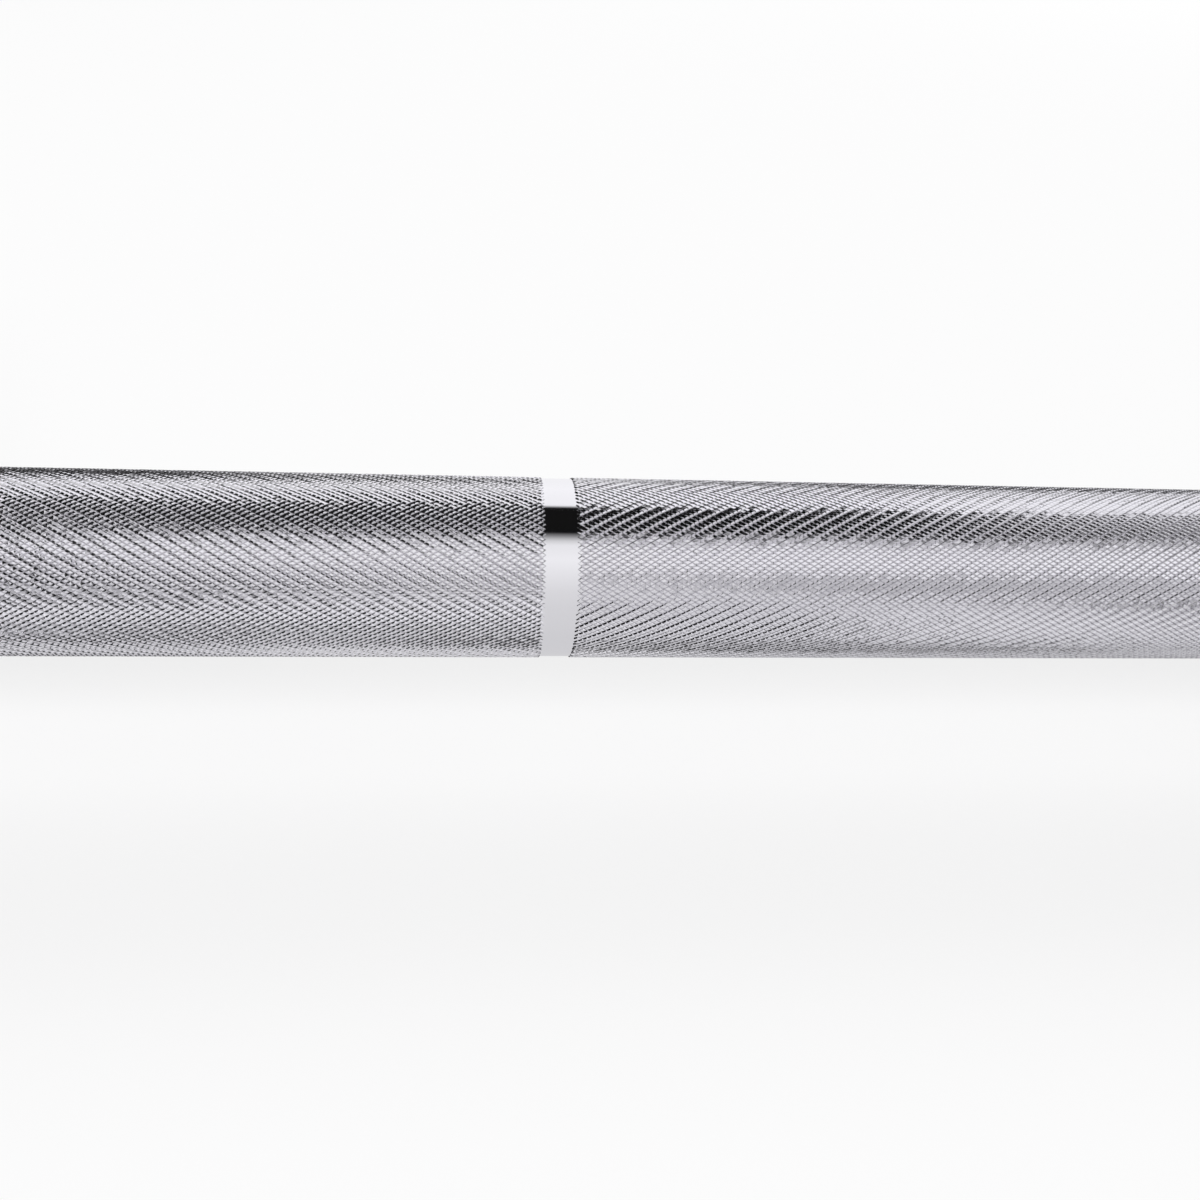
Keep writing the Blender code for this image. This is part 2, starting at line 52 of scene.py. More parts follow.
CAMBER_FORWARD = 0.050
BEND_RADIUS = 0.075
BEND_ANGLE = math.radians(35)
SPIGOT_STEP_DEPTH = 0.009
SPIGOT_STEP_CHAMFER = 0.0006
END_CHAMFER = 0.0015
KNURL_INNER_MARGIN = 0.015
KNURL_OUTER_MARGIN = 0.015
RING_MARK_X = 0.490
RING_MARK_WIDTH = 0.005
# Clearance where one piece seats on another
SEAT_GAP = 0.0003

# Diamond knurl: two crossing families of V grooves. One family falls to the right and one rises, and
# every second groove of one of them is cut wider.
KNURL_STARTS = 110
KNURL_PERIOD = 0.001478
# Heights from the shaft's radius: the diamonds' tops, a band's back, and the bar's core under it
KNURL_CREST = 0.0002
KNURL_BACK = -0.0002
KNURL_CORE = -0.0003
# The bar keeps its full radius this far under each end of a band
KNURL_SEAT = 0.0010
# Half widths of the wide grooves, of those between them and of the other family, as shares of the
# grooves' spacing, and the angle of the grooves' walls in degrees
INNER_GROOVES = (0.38, 0.19, 0.23, 38)
OUTER_GROOVES = (0.28, 0.12, 0.20, 45)
CREST_JITTER = 0.000018
# How far the diamonds at a band's ends reach past their row, in rows
TOOTH_REACH = 0.25
# Shares of a band's flat map: margins beside the teeth and at the seam, the strip for an end, and
# where the back's two edges lie
MAP_MARGIN = 0.03
MAP_SEAM_MARGIN = 0.01
MAP_END_STRIP = 0.01
MAP_BACK = (0.015, 0.025)

# Yoke
RAIL_RADIUS = 0.0125
RAIL_BORE_RADIUS = 0.0095
RAIL_STRAIGHT = 0.235
RAIL_BEND_RADIUS = 0.060
RAIL_DIP = math.radians(25)
PLUG_HEAD = 0.0035
PLUG_SHANK_LENGTH = 0.012
GRIP_LENGTH = 0.135
GRIP_RADIUS = 0.0165
GRIP_RIM_RADIUS = 0.0205
GRIP_RIM_WIDTH = 0.006
PAD_RADIUS = 0.048
PAD_DRAW_IN = 0.005
PAD_REACH = 0.222
PAD_MITRE_GAP = 0.0012
PAD_SEAM_ROUND = 0.006
PAD_FRONT_ROUND = 0.010
PIPING_RADIUS = 0.0019

# Sleeve
SLEEVE_RADIUS = 0.025
SLEEVE_END_CHAMFER = 0.002
SLEEVE_EDGE_ROUND = 0.0008
BORE_RADIUS = 0.018
COLLAR_RADIUS = 0.039
COLLAR_INNER_CHAMFER = 0.005
COLLAR_OUTER_CHAMFER = 0.001
COLLAR_EDGE_ROUND = 0.0007
COLLAR_LIP = 0.005
COLLAR_MOUTH_CLEARANCE = 0.0006
CAP_RADIUS = 0.023
CAP_PLUG_LENGTH = 0.014
CAP_DISH_DEPTH = 0.0015
CAP_RIM_WIDTH = 0.005
CAP_CHAMFER = 0.0012
CAP_EDGE_ROUND = 0.0004

# The frame says where the axes lie
collar_low, collar_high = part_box("right_collar")
COLLAR_X = collar_low.x
COLLAR_WIDTH = collar_high.x - collar_low.x
SLEEVE_AXIS = Vector((0, (collar_low.y + collar_high.y) / 2, (collar_low.z + collar_high.z) / 2))
CAMBER = math.hypot(CAMBER_DROP, CAMBER_FORWARD)
CAMBER_WAY = Vector((0, -CAMBER_FORWARD, -CAMBER_DROP)) / CAMBER
YOKE_AXIS = SLEEVE_AXIS - CAMBER * CAMBER_WAY
rail_low, rail_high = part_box("right_rail")
RAIL_X = (rail_low.x + rail_high.x) / 2
SLEEVE_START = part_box("right_sleeve")[0].x - COLLAR_X
SLEEVE_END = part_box("right_sleeve")[1].x - COLLAR_X
CAP_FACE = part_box("right_end_cap")[1].x - COLLAR_X
SHAFT_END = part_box("shaft")[1].x
GRIP_WAY = Vector((0, -math.cos(RAIL_DIP), -math.sin(RAIL_DIP)))
# From a rail's bend to its tip: the grip's rim comes down to the floor
TIP_REACH = (
    SLEEVE_AXIS.z + CAMBER_DROP - GRIP_RIM_RADIUS * math.cos(RAIL_DIP)
    - RAIL_BEND_RADIUS * (1 - math.cos(RAIL_DIP))
) / math.sin(RAIL_DIP)
CAMBER_RUN = (
    2 * BEND_RADIUS * math.sin(BEND_ANGLE)
    + (CAMBER - 2 * BEND_RADIUS * (1 - math.cos(BEND_ANGLE))) / math.tan(BEND_ANGLE)
)
OUTER_STRAIGHT = CENTRE_LENGTH / 2 + CAMBER_RUN


# Nodes
class Nodes:
    """A node tree, with short ways to add and join nodes."""

    def __init__(self, tree):
        self.tree = tree

    def add(self, kind, **values):
        node = self.tree.nodes.new(kind)
        for key, value in values.items():
            if key in node.inputs:
                node.inputs[key].default_value = value
            else:
                setattr(node, key, value)
        return node

    def feed(self, value, socket):
        """Gives a socket a number, a colour or another node's output."""
        if isinstance(value, bpy.types.NodeSocket):
            self.tree.links.new(value, socket)
        else:
            socket.default_value = value

    def math(self, operation, *inputs):
        made = self.add("ShaderNodeMath", operation=operation)
        for socket, value in zip(made.inputs, inputs):
            self.feed(value, socket)
        return made.outputs[0]

    def ramp(self, value, low, high, start, end, kind="LINEAR"):
        """A value from low to high as the input goes from start to end."""
        made = self.add("ShaderNodeMapRange", interpolation_type=kind)
        for key, number in (("From Min", start), ("From Max", end), ("To Min", low), ("To Max", high)):
            made.inputs[key].default_value = number
        self.feed(value, made.inputs["Value"])
        return made.outputs["Result"]

    def mix(self, factor, first, second, blend="MIX"):
        """Two colours blended by factor."""
        made = self.add("ShaderNodeMix", data_type="RGBA", blend_type=blend)
        for place, value in zip((0, 6, 7), (factor, first, second)):
            self.feed(value, made.inputs[place])
        return made.outputs[2]

    def rays(self):
        """Whether a ray is the camera's, and whether it was mirrored or let through."""
        path = self.add("ShaderNodeLightPath").outputs
        sharp = self.math("MAXIMUM", path["Is Glossy Ray"], path["Is Transmission Ray"])
        return path["Is Camera Ray"], sharp


class Material(Nodes):
    """A material's nodes: textures on the object's own coordinates, and the shader that they feed."""

    def __init__(self, name):
        self.material = bpy.data.materials.new(name)
        self.material.use_nodes = True
        super().__init__(self.material.node_tree)
        self.shader = self.tree.nodes["Principled BSDF"]

    def set(self, **values):
        for key, value in values.items():
            self.feed(value, self.shader.inputs[key.replace("_", " ")])

    def place(self, scale=(1, 1, 1)):
        """Object coordinates, stretched."""
        mapping = self.add("ShaderNodeMapping")
        mapping.inputs["Scale"].default_value = scale
        self.feed(self.add("ShaderNodeTexCoord").outputs["Object"], mapping.inputs["Vector"])
        return mapping.outputs["Vector"]

    def noise(self, where, scale, detail=3.0, roughness=0.5):
        made = self.add("ShaderNodeTexNoise", Scale=scale, Detail=detail, Roughness=roughness)
        self.feed(where, made.inputs["Vector"])
        return made.outputs["Fac"]

    def blend(self, value, first, second):
        """A colour between two, by value."""
        return self.mix(value, (*first, 1), (*second, 1))

    def sum(self, first, second, share):
        """first + share * second."""
        return self.math("MULTIPLY_ADD", second, share, first)

    def bump(self, height, distance, strength):
        made = self.add("ShaderNodeBump", Distance=distance, Strength=strength)
        self.feed(height, made.inputs["Height"])
        self.feed(made.outputs["Normal"], self.shader.inputs["Normal"])


def chrome(name, low=0.03, high=0.09, wear=0.00002):
    """Polished hard chrome: faint clouds of handling, and hair scratches round the bar."""
    made = Material(name)
    clouds = made.noise(made.place(), scale=45.0, detail=4.0, roughness=0.6)
    hairs = made.noise(made.place((900, 40, 40)), scale=1.0, detail=2.0)
    worn = made.sum(clouds, hairs, share=0.3)
    made.set(Base_Color=(0.905, 0.897, 0.922, 1), Metallic=1.0)
    made.set(Roughness=made.ramp(worn, low, high, start=0.45, end=0.95))
    made.bump(hairs, distance=wear, strength=0.25)
    return made.material


def knurled_chrome():
    """Chrome over the cut diamonds: the crests in the chrome's colour, and the grooves painted greyer as
    shade in the recesses, with a fine grain.
    """
    made = Material("knurled_chrome")
    crest = made.add("ShaderNodeAttribute", attribute_name="crest").outputs["Fac"]
    grain = made.noise(made.place(), scale=2600.0, detail=2.0)
    # Painted shade: where the crest attribute falls to 0, down in the grooves, the colour is greyer than the
    # chrome's own
    made.set(Base_Color=made.blend(crest, (0.71, 0.70, 0.722), (0.89, 0.878, 0.905)), Metallic=1.0)
    made.set(Roughness=made.ramp(grain, 0.05, 0.14, start=0.3, end=0.75))
    made.bump(made.noise(made.place(), scale=5200.0, detail=2.0), distance=0.00001, strength=0.5)
    return made.material


def bare_metal(name, colour, low, high):
    """Uncoated metal with fine lines round it in two tones."""
    made = Material(name)
    lines = made.noise(made.place((1500, 60, 60)), scale=1.0)
    dark = tuple(0.8 * c for c in colour)
    made.set(Base_Color=made.blend(lines, dark, colour), Metallic=1.0)
    made.set(Roughness=made.ramp(lines, low, high, start=0.3, end=0.7))
    made.bump(lines, distance=0.00002, strength=0.4)
    return made.material


def vinyl():
    """Grained black vinyl: pebbles of about a millimetre, fine pores, and rubbed high spots."""
    made = Material("pad_vinyl")
    where = made.place()
    pebbles = made.add("ShaderNodeTexVoronoi", Scale=950.0, feature="DISTANCE_TO_EDGE")
    made.feed(where, pebbles.inputs["Vector"])
    grain = made.ramp(pebbles.outputs["Distance"], 0.0, 1.0, start=0.0, end=0.16)
    pores = made.noise(where, scale=3500.0, detail=2.0)
    wear = made.noise(where, scale=22.0, detail=5.0, roughness=0.6)
    made.set(Base_Color=made.blend(wear, (0.011, 0.011, 0.012), (0.034, 0.034, 0.036)))
    made.set(Roughness=made.ramp(wear, 0.36, 0.56, start=0.3, end=0.7))
    made.set(Specular_IOR_Level=0.5, Sheen_Weight=0.05)
    made.bump(made.sum(grain, pores, share=0.5), distance=0.00022, strength=0.55)
    return made.material


def stitch_thread():
    """Twisted black thread."""
    made = Material("stitch_thread")
    wave = made.add("ShaderNodeTexWave", Scale=900.0, Distortion=1.0, bands_direction="DIAGONAL")
    made.feed(made.place(), wave.inputs["Vector"])
    twist = wave.outputs["Fac"]
    made.set(Base_Color=made.blend(twist, (0.03, 0.03, 0.032), (0.11, 0.11, 0.115)), Roughness=0.75)
    made.bump(twist, distance=0.0001, strength=0.6)
    return made.material


def rubber():
    """Moulded grip rubber: matte, with a fine eraser grain and patches of grey dust."""
    made = Material("grip_rubber")
    where = made.place()
    dust = made.noise(where, scale=70.0, detail=5.0, roughness=0.65)
    grain = made.noise(where, scale=2400.0)
    dusty = made.ramp(dust, 0.0, 1.0, start=0.4, end=0.75)
    made.set(Base_Color=made.blend(dusty, (0.012, 0.012, 0.013), (0.045, 0.045, 0.046)))
    made.set(Roughness=made.ramp(dust, 0.62, 0.85, start=0.35, end=0.7))
    made.bump(grain, distance=0.00012, strength=0.5)
    return made.material


def plastic():
    """Black moulded plastic with a fine spark-eroded grain."""
    made = Material("plug_plastic")
    where = made.place()
    spark = made.noise(where, scale=1800.0)
    clouds = made.noise(where, scale=60.0)
    made.set(Base_Color=made.blend(clouds, (0.014, 0.014, 0.015), (0.03, 0.03, 0.031)))
    made.set(Roughness=made.ramp(spark, 0.38, 0.55, start=0.3, end=0.7))
    made.bump(spark, distance=0.00005, strength=0.5)
    return made.material


# Meshes
SHARP = math.radians(32)
MERGE_DISTANCE = 1e-7
# A turned piece that isn't bored closes round its axis at this radius
AXIS_RADIUS = 1e-5


def piece_from(name, verts, faces, material, body, smooth=True, sharp=SHARP):
    mesh = bpy.data.meshes.new(name)
    mesh.from_pydata(verts, [], faces)
    mesh.validate()
    mesh.materials.append(material)
    made = bpy.data.objects.new(name, mesh)
    bpy.context.scene.collection.objects.link(made)
    if smooth:
        mesh.shade_smooth()
        mesh.set_sharp_from_angle(angle=sharp)
    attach(made, body)
    return made


def face_outwards(piece, merge=True):
    bm = bmesh.new()
    bm.from_mesh(piece.data)
    if merge:
        bmesh.ops.remove_doubles(bm, verts=bm.verts, dist=MERGE_DISTANCE)
    bmesh.ops.recalc_face_normals(bm, faces=bm.faces)
    bm.to_mesh(piece.data)
    bm.free()
    return piece


def loft(name, rings, material, body, loop=False, sharp=SHARP):
    """A tube of quads through equal rings: end to end if it is a loop, else closed by a face at each end."""
    count = len(rings[0])
    verts = [tuple(point) for ring in rings for point in ring]
    faces = []
    last = len(rings) if loop else len(rings) - 1
    for k in range(last):
        base, after = k * count, (k + 1) % len(rings) * count
        for n in range(count):
            m = (n + 1) % count
            faces.append((base + n, base + m, after + m, after + n))
    if not loop:
        faces.append(tuple(range(count)))
        faces.append(tuple(range(len(verts) - count, len(verts))))
    return face_outwards(piece_from(name, verts, faces, material, body, sharp=sharp))


def turns_round(count):
    return [2 * math.pi * k / count for k in range(count)]


def circle(centre, across, aside, radius, count):
    return [centre + radius * (math.cos(t) * across + math.sin(t) * aside) for t in turns_round(count)]


def lathe(name, profile, centre, along, material, body, count=96, bored=True):
    """A turned piece: profile is (distance along, radius). Not bored, it closes at both ends."""
    across = along.orthogonal().normalized()
    aside = along.cross(across)
    rings = [circle(centre + x * along, across, aside, max(r, AXIS_RADIUS), count) for x, r in profile]
    return loft(name, rings, material, body, loop=bored)


def rounded(points, radius, steps=4, most=0.45):
    """A profile whose inner corners are rounded off by up to radius, or by most of the shorter side."""
    made = [points[0]]
    for before, corner, after in zip(points, points[1:], points[2:]):
        a, b, c = (Vector(p) for p in (before, corner, after))
        reach = min(radius, most * (a - b).length, most * (c - b).length)
        start, end = b + reach * (a - b).normalized(), b + reach * (c - b).normalized()
        for k in range(steps + 1):
            t = k / steps
            made.append(tuple((1 - t) ** 2 * start + 2 * t * (1 - t) * b + t**2 * end))
    made.append(points[-1])
    return made


# Shaft
BAR_FACETS = 96
BEND_STEPS = 20
CENTRE_STEPS = 4
# The halves' first rings lie this far from the middle
FIRST_RING_X = 0.001


def knurl_spans():
    """Where the inner and the outer band start and end on the right side."""
    mark = RING_MARK_WIDTH / 2
    inner = (OUTER_STRAIGHT + KNURL_INNER_MARGIN, RING_MARK_X - mark)
    return inner, (RING_MARK_X + mark, COLLAR_X - KNURL_OUTER_MARGIN)


def shaft_stations():
    """(x, camber, slope, radius) from the middle to the right end; the bar is thinner under the knurl."""
    angles = [BEND_ANGLE * k / BEND_STEPS for k in range(BEND_STEPS + 1)]
    start = CENTRE_LENGTH / 2
    places = [max(FIRST_RING_X, start * k / CENTRE_STEPS) for k in range(CENTRE_STEPS)]
    stations = [(x, 0, 0, SHAFT_RADIUS) for x in places]
    for a in angles:
        x = start + BEND_RADIUS * math.sin(a)
        stations.append((x, BEND_RADIUS * (1 - math.cos(a)), a, SHAFT_RADIUS))
    for a in reversed(angles):
        x = OUTER_STRAIGHT - BEND_RADIUS * math.sin(a)
        stations.append((x, CAMBER - BEND_RADIUS * (1 - math.cos(a)), a, SHAFT_RADIUS))
    core = SHAFT_RADIUS + KNURL_CORE
    for start, end in knurl_spans():
        start, end = start + KNURL_SEAT, end - KNURL_SEAT
        stations += [(start, CAMBER, 0, SHAFT_RADIUS), (start, CAMBER, 0, core)]
        stations += [(end, CAMBER, 0, core), (end, CAMBER, 0, SHAFT_RADIUS)]
    step = COLLAR_X + SPIGOT_STEP_DEPTH
    ends = [(step - SPIGOT_STEP_CHAMFER, SHAFT_RADIUS), (step, SHAFT_RADIUS - SPIGOT_STEP_CHAMFER)]
    ends += [(step, SPIGOT_RADIUS), (SHAFT_END - END_CHAMFER, SPIGOT_RADIUS)]
    ends.append((SHAFT_END, SPIGOT_RADIUS - END_CHAMFER))
    return stations + [(x, CAMBER, 0, r) for x, r in ends]


def make_shaft(metal):
    half = shaft_stations()
    both = [(-x, camber, -slope, radius) for x, camber, slope, radius in reversed(half)] + half
    along = Vector((1, 0, 0))
    aside = along.cross(CAMBER_WAY)
    rings = []
    for x, camber, slope, radius in both:
        across = math.cos(slope) * CAMBER_WAY - math.sin(slope) * along
        centre = YOKE_AXIS + x * along + camber * CAMBER_WAY
        rings.append(circle(centre, across, aside, radius, BAR_FACETS))
    bar = loft("shaft_bar", rings, metal, "bar")
    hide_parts("shaft")


# Knurl
def make_knurl_band(name, start, end, metal, seed, grooves, wide_family, part=(0, 1)):
    """Flat-topped diamonds between two crossing sets of V grooves, on a thin closed sleeve.

    A row is a ring of diamonds half a period further along. column counts half starts round the bar.
    part is the share of the band's rows that this piece has, so that a long band can be two pieces.
    """
    rng = np.random.default_rng(seed)
    wide, between, other, wall_angle = grooves

    def half_width(groove, family):
        if family != wide_family:
            return np.full(groove.shape, other)
        return np.where(groove % 2 == 0, wide, between)

    lead = math.atan2(2 * math.pi * SHAFT_RADIUS / KNURL_STARTS, KNURL_PERIOD)
    spacing = KNURL_PERIOD * math.sin(lead)
    # A whole number of rows fills the band, teeth included
    ends = 2 * TOOTH_REACH
    rows = round(2 * (end - start) / KNURL_PERIOD - ends)
    low, high = (round(share * rows) for share in part)
    half = (end - start) / (rows + ends)
    first = start + (0.5 + TOOTH_REACH) * half
    turn = math.pi / KNURL_STARTS
    crest = SHAFT_RADIUS + KNURL_CREST

    def spots(row, column, radius):
        x = np.clip(first + row * half, start, end)
        angle = column * turn
        y = SLEEVE_AXIS.y - radius * np.cos(angle)
        z = SLEEVE_AXIS.z + radius * np.sin(angle)
        return np.stack([x, y, z], -1)

    # Groove crossings, one ring of them for each row and one more at each end
    starts = np.arange(KNURL_STARTS)
    cross_row, cross_place = np.meshgrid(np.arange(low - 1, high + 1), starts, indexing="ij")
    cross_column = 2 * cross_place + (cross_row % 2)
    falling = half_width((cross_column + cross_row) // 2, "falling")
    rising = half_width((cross_column - cross_row) // 2, "rising")
    depth = np.maximum(falling, rising) * spacing * math.tan(math.radians(wall_angle))
    crossings = spots(cross_row, cross_column, crest - depth).reshape(-1, 3)

    def crossing(row, column):
        return (row + 1 - low) * KNURL_STARTS + (column - row % 2) // 2 % KNURL_STARTS

    # Diamonds: their middles lie between the crossings
    row, place = np.meshgrid(np.arange(low, high), starts, indexing="ij")
    column = 2 * place + (row + 1) % 2
    i, j = (column - 1 + row) // 2, (column - 1 - row) // 2
    near_i, far_i = i + half_width(i, "falling"), i + 1 - half_width(i + 1, "falling")
    near_j, far_j = j + half_width(j, "rising"), j + 1 - half_width(j + 1, "rising")
    tops = []
    for a, b in ((near_i, near_j), (far_i, near_j), (far_i, far_j), (near_i, far_j)):
        radius = crest + CREST_JITTER * rng.uniform(-1, 1, a.shape)
        tops.append(spots(a - b, a + b, radius))
    tops = np.stack(tops, 2).reshape(-1, 3)
    offset = len(crossings)
    top = offset + 4 * np.arange(row.size).reshape(*row.shape, 1) + np.arange(4)
    base = np.stack([crossing(row, column - 1), crossing(row + 1, column),
                     crossing(row, column + 1), crossing(row - 1, column)], -1)
    faces = [top.reshape(-1, 4)]
    for k in range(4):
        n = (k + 1) % 4
        wall = np.stack([base[..., k], base[..., n], top[..., n], top[..., k]], -1)
        faces.append(wall.reshape(-1, 4))

    # The sleeve's back, seamed to the teeth at each end
    verts = [crossings, tops]
    count = offset + len(tops)
    columns = np.arange(2 * KNURL_STARTS)
    after = np.roll(columns, -1)
    rims = []
    for outer, inner in ((low - 1, low), (high, high - 1)):
        on_outer = (columns - outer) % 2 == 0
        edge = np.where(on_outer, crossing(outer, columns), crossing(inner, columns))
        seam = np.where(on_outer, outer, inner)
        verts.append(spots(seam, columns, SHAFT_RADIUS + KNURL_BACK))
        rim = count + columns
        count += len(columns)
        faces.append(np.stack([edge, edge[after], rim[after], rim], -1))
        rims.append(rim)
    faces.append(np.stack([rims[0], rims[0][after], rims[1][after], rims[1]], -1))
    verts = np.concatenate(verts).tolist()
    faces = np.concatenate(faces).tolist()
    made = piece_from(name, verts, faces, metal, "bar", smooth=False)
    # The crest attribute: 1 on the diamonds' tops and 0 down in the grooves, where the material paints shade
    height = np.zeros(len(made.data.vertices), np.float32)
    height[offset:offset + len(tops)] = 1.0
    made.data.attributes.new("crest", "FLOAT", "POINT").data.foreach_set("value", height)
    face_outwards(made, merge=False)
    map_round(made, 5 * row.size)


def map_round(band, teeth):
    """Lays a band out flat, by x and angle: its first faces are teeth, the rest go in strips at the edges."""
    mesh = band.data
    corner = np.empty(len(mesh.loops), np.int32)
    mesh.loops.foreach_get("vertex_index", corner)
    spots = np.empty(3 * len(mesh.vertices), np.float32)
    mesh.vertices.foreach_get("co", spots)
    spots = spots.reshape(-1, 3)[corner]
    face = np.arange(len(corner)) // 4
    along = (spots[:, 0] - spots[:, 0].min()) / np.ptp(spots[:, 0])
    y, z = spots[:, 1] - SLEEVE_AXIS.y, spots[:, 2] - SLEEVE_AXIS.z
    turn = np.arctan2(z, -y) / (2 * math.pi)
    # A face across the seam stays whole
    first = turn[4 * face]
    turn = first + (turn - first + 0.5) % 1.0 - 0.5
    outside = np.hypot(y, z) > SHAFT_RADIUS + KNURL_BACK / 2
    far = along > 0.5
    back = face >= teeth + 4 * KNURL_STARTS
    end_face = (face >= teeth) & ~back
    strip = MAP_END_STRIP * outside
    u = MAP_MARGIN + (1 - 2 * MAP_MARGIN) * along
    u = np.where(end_face, np.where(far, 1 - strip, strip), u)
    u = np.where(back, np.where(far, MAP_BACK[1], MAP_BACK[0]), u)
    v = (turn + 0.5 + MAP_SEAM_MARGIN) / (1 + 2 * MAP_SEAM_MARGIN)
    flat = np.stack([u, v], -1).astype(np.float32)
    mesh.uv_layers.new(name="OFBake").uv.foreach_set("vector", flat.ravel())


def make_knurl(metal):
    """The left bands mirror the right ones, and each outer band is two pieces."""
    (start, end), outer = knurl_spans()
    make_knurl_band("right_inner_knurl", start, end, metal, 0, INNER_GROOVES, "falling")
    make_knurl_band("left_inner_knurl", -end, -start, metal, 1, INNER_GROOVES, "rising")
    start, end = outer
    for n, part in ((1, (0, 0.5)), (2, (0.5, 1))):
        right, left = f"right_outer_knurl_{n}", f"left_outer_knurl_{n}"
        make_knurl_band(right, start, end, metal, 2 * n, OUTER_GROOVES, "rising", part)
        make_knurl_band(left, -end, -start, metal, 2 * n + 1, OUTER_GROOVES, "falling", part)


# Rails, plugs and grips
RAIL_FACETS = 64
RAIL_STRAIGHT_STEPS = 6
RAIL_BEND_STEPS = 14
RAIL_TIP_STEPS = 4
PLUG_HEAD_STEPS = 8
# How full the plug's domed head is: 1 is an ellipse, and less is squarer
PLUG_HEAD_FULLNESS = 0.5
MAIN_RIBS = 9
FINE_RIBS = 6
FINE_RIB_SAMPLES = 6
FINE_RIB_HEIGHT = 0.00028
FINE_RIB_ROUNDNESS = 0.7
FINE_RIB_SINK = 0.0003
# The V groove in each main rib: its depth, and its half width as a share of the rib
RIB_GROOVE_DEPTH = 0.0010
RIB_GROOVE_SHARE = 0.11
# The fine ribs fade out over this share of a main rib beside the grip's rims
RIB_FADE = 0.3
GRIP_RIM_STEPS = 12


def rail_line():
    """(centre, across) along a rail at x = 0, from the shaft to its tip."""
    bend = Vector((0, -RAIL_STRAIGHT, -RAIL_BEND_RADIUS))
    made = []
    for k in range(1, RAIL_STRAIGHT_STEPS):
        made.append((Vector((0, -RAIL_STRAIGHT * k / RAIL_STRAIGHT_STEPS, 0)), Vector((0, 0, 1))))
    for k in range(RAIL_BEND_STEPS + 1):
        angle = RAIL_DIP * k / RAIL_BEND_STEPS
        across = Vector((0, -math.sin(angle), math.cos(angle)))
        made.append((bend + RAIL_BEND_RADIUS * across, across))
    centre, across = made[-1]
    for k in range(1, RAIL_TIP_STEPS + 1):
        made.append((centre + TIP_REACH * k / RAIL_TIP_STEPS * GRIP_WAY, across))
    return made


def saddle_ring(radius, place):
    """The tube's end where it is cut to sit on the shaft."""
    made = []
    for t in turns_round(RAIL_FACETS):
        height = radius * math.sin(t)
        y = -math.sqrt((SHAFT_RADIUS + SEAT_GAP) ** 2 - height**2)
        made.append(place + Vector((radius * math.cos(t), y, height)))
    return made


def plug_profile():
    """A shank in the tube's bore and a domed head over the tube's end."""
    shank = RAIL_BORE_RADIUS - SEAT_GAP
    made = [(-PLUG_SHANK_LENGTH, 0), (-PLUG_SHANK_LENGTH, shank)]
    made += [(SEAT_GAP, shank), (SEAT_GAP, RAIL_RADIUS)]
    for k in range(1, PLUG_HEAD_STEPS + 1):
        t = math.pi / 2 * k / PLUG_HEAD_STEPS
        radius = RAIL_RADIUS * math.cos(t) ** PLUG_HEAD_FULLNESS
        made.append((SEAT_GAP + PLUG_HEAD * math.sin(t), radius))
    return made


def grip_profile():
    """Main ribs with a V groove in each, and fine ribs across them."""
    bore = RAIL_RADIUS + SEAT_GAP
    made = [(-GRIP_LENGTH, bore)] + grip_rim(-GRIP_LENGTH)
    pitch = (GRIP_LENGTH - 2 * GRIP_RIM_WIDTH) / MAIN_RIBS
    samples = FINE_RIBS * FINE_RIB_SAMPLES
    for k in range(MAIN_RIBS * samples):
        along = (k + 0.5) / samples
        share = along % 1
        fine = FINE_RIB_HEIGHT * abs(math.sin(math.pi * share * FINE_RIBS)) ** FINE_RIB_ROUNDNESS
        groove = RIB_GROOVE_DEPTH * max(0.0, 1 - abs(share - 0.5) / RIB_GROOVE_SHARE)
        edge = min(1.0, min(along, MAIN_RIBS - along) / RIB_FADE)
        radius = GRIP_RADIUS - groove + edge * (fine - FINE_RIB_SINK)
        made.append((-GRIP_LENGTH + GRIP_RIM_WIDTH + along * pitch, radius))
    return made + grip_rim(-GRIP_RIM_WIDTH) + [(0, bore)]


def grip_rim(start):
    """A rim that is round over its whole width."""
    round_over = GRIP_RIM_WIDTH / 2
    made = []
    for k in range(GRIP_RIM_STEPS + 1):
        t = math.pi * k / GRIP_RIM_STEPS
        height = GRIP_RIM_RADIUS - round_over + round_over * math.sin(t)
        made.append((start + round_over * (1 - math.cos(t)), height))
    return made


def make_handles(metal, grip_rubber, plug_plastic):
    line = rail_line()
    aside = Vector((1, 0, 0))
    for name, side in (("left", -1), ("right", 1)):
        place = YOKE_AXIS + Vector((side * RAIL_X, 0, 0))
        outer = [saddle_ring(RAIL_RADIUS, place)]
        inner = [saddle_ring(RAIL_BORE_RADIUS, place)]
        for centre, across in line:
            outer.append(circle(place + centre, aside, across, RAIL_RADIUS, RAIL_FACETS))
            inner.append(circle(place + centre, aside, across, RAIL_BORE_RADIUS, RAIL_FACETS))
        rail = loft(f"{name}_rail_tube", outer + inner[::-1], metal, "bar", loop=True)
        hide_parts(f"{name}_rail")
        tip = place + line[-1][0]
        plug = lathe(f"{name}_tip_plug", plug_profile(), tip, GRIP_WAY, plug_plastic, "bar",
                     RAIL_FACETS, bored=False)
        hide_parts(f"{name}_rail_plug")
        grip = lathe(f"{name}_ribbed_grip", grip_profile(), tip, GRIP_WAY, grip_rubber, "bar")
        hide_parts(f"{name}_grip")


# Pads
ROLL_FACETS = 72
NECK_STEPS = 64
SHOULDER_STEPS = 60
# How much closer together the rings lie at a roll's ends, from 0 to 1
RING_CROWD = 0.75
ROLL_SHARP = math.radians(60)
MITRE_IN = PAD_MITRE_GAP / math.sqrt(2)
END_RADIUS = PAD_RADIUS - PAD_DRAW_IN
# How deep a seam draws the roll in, and the length over which that fades
MITRE_DIP = (0.0012, 0.02)
FRONT_DIP = (0.0008, 0.014)
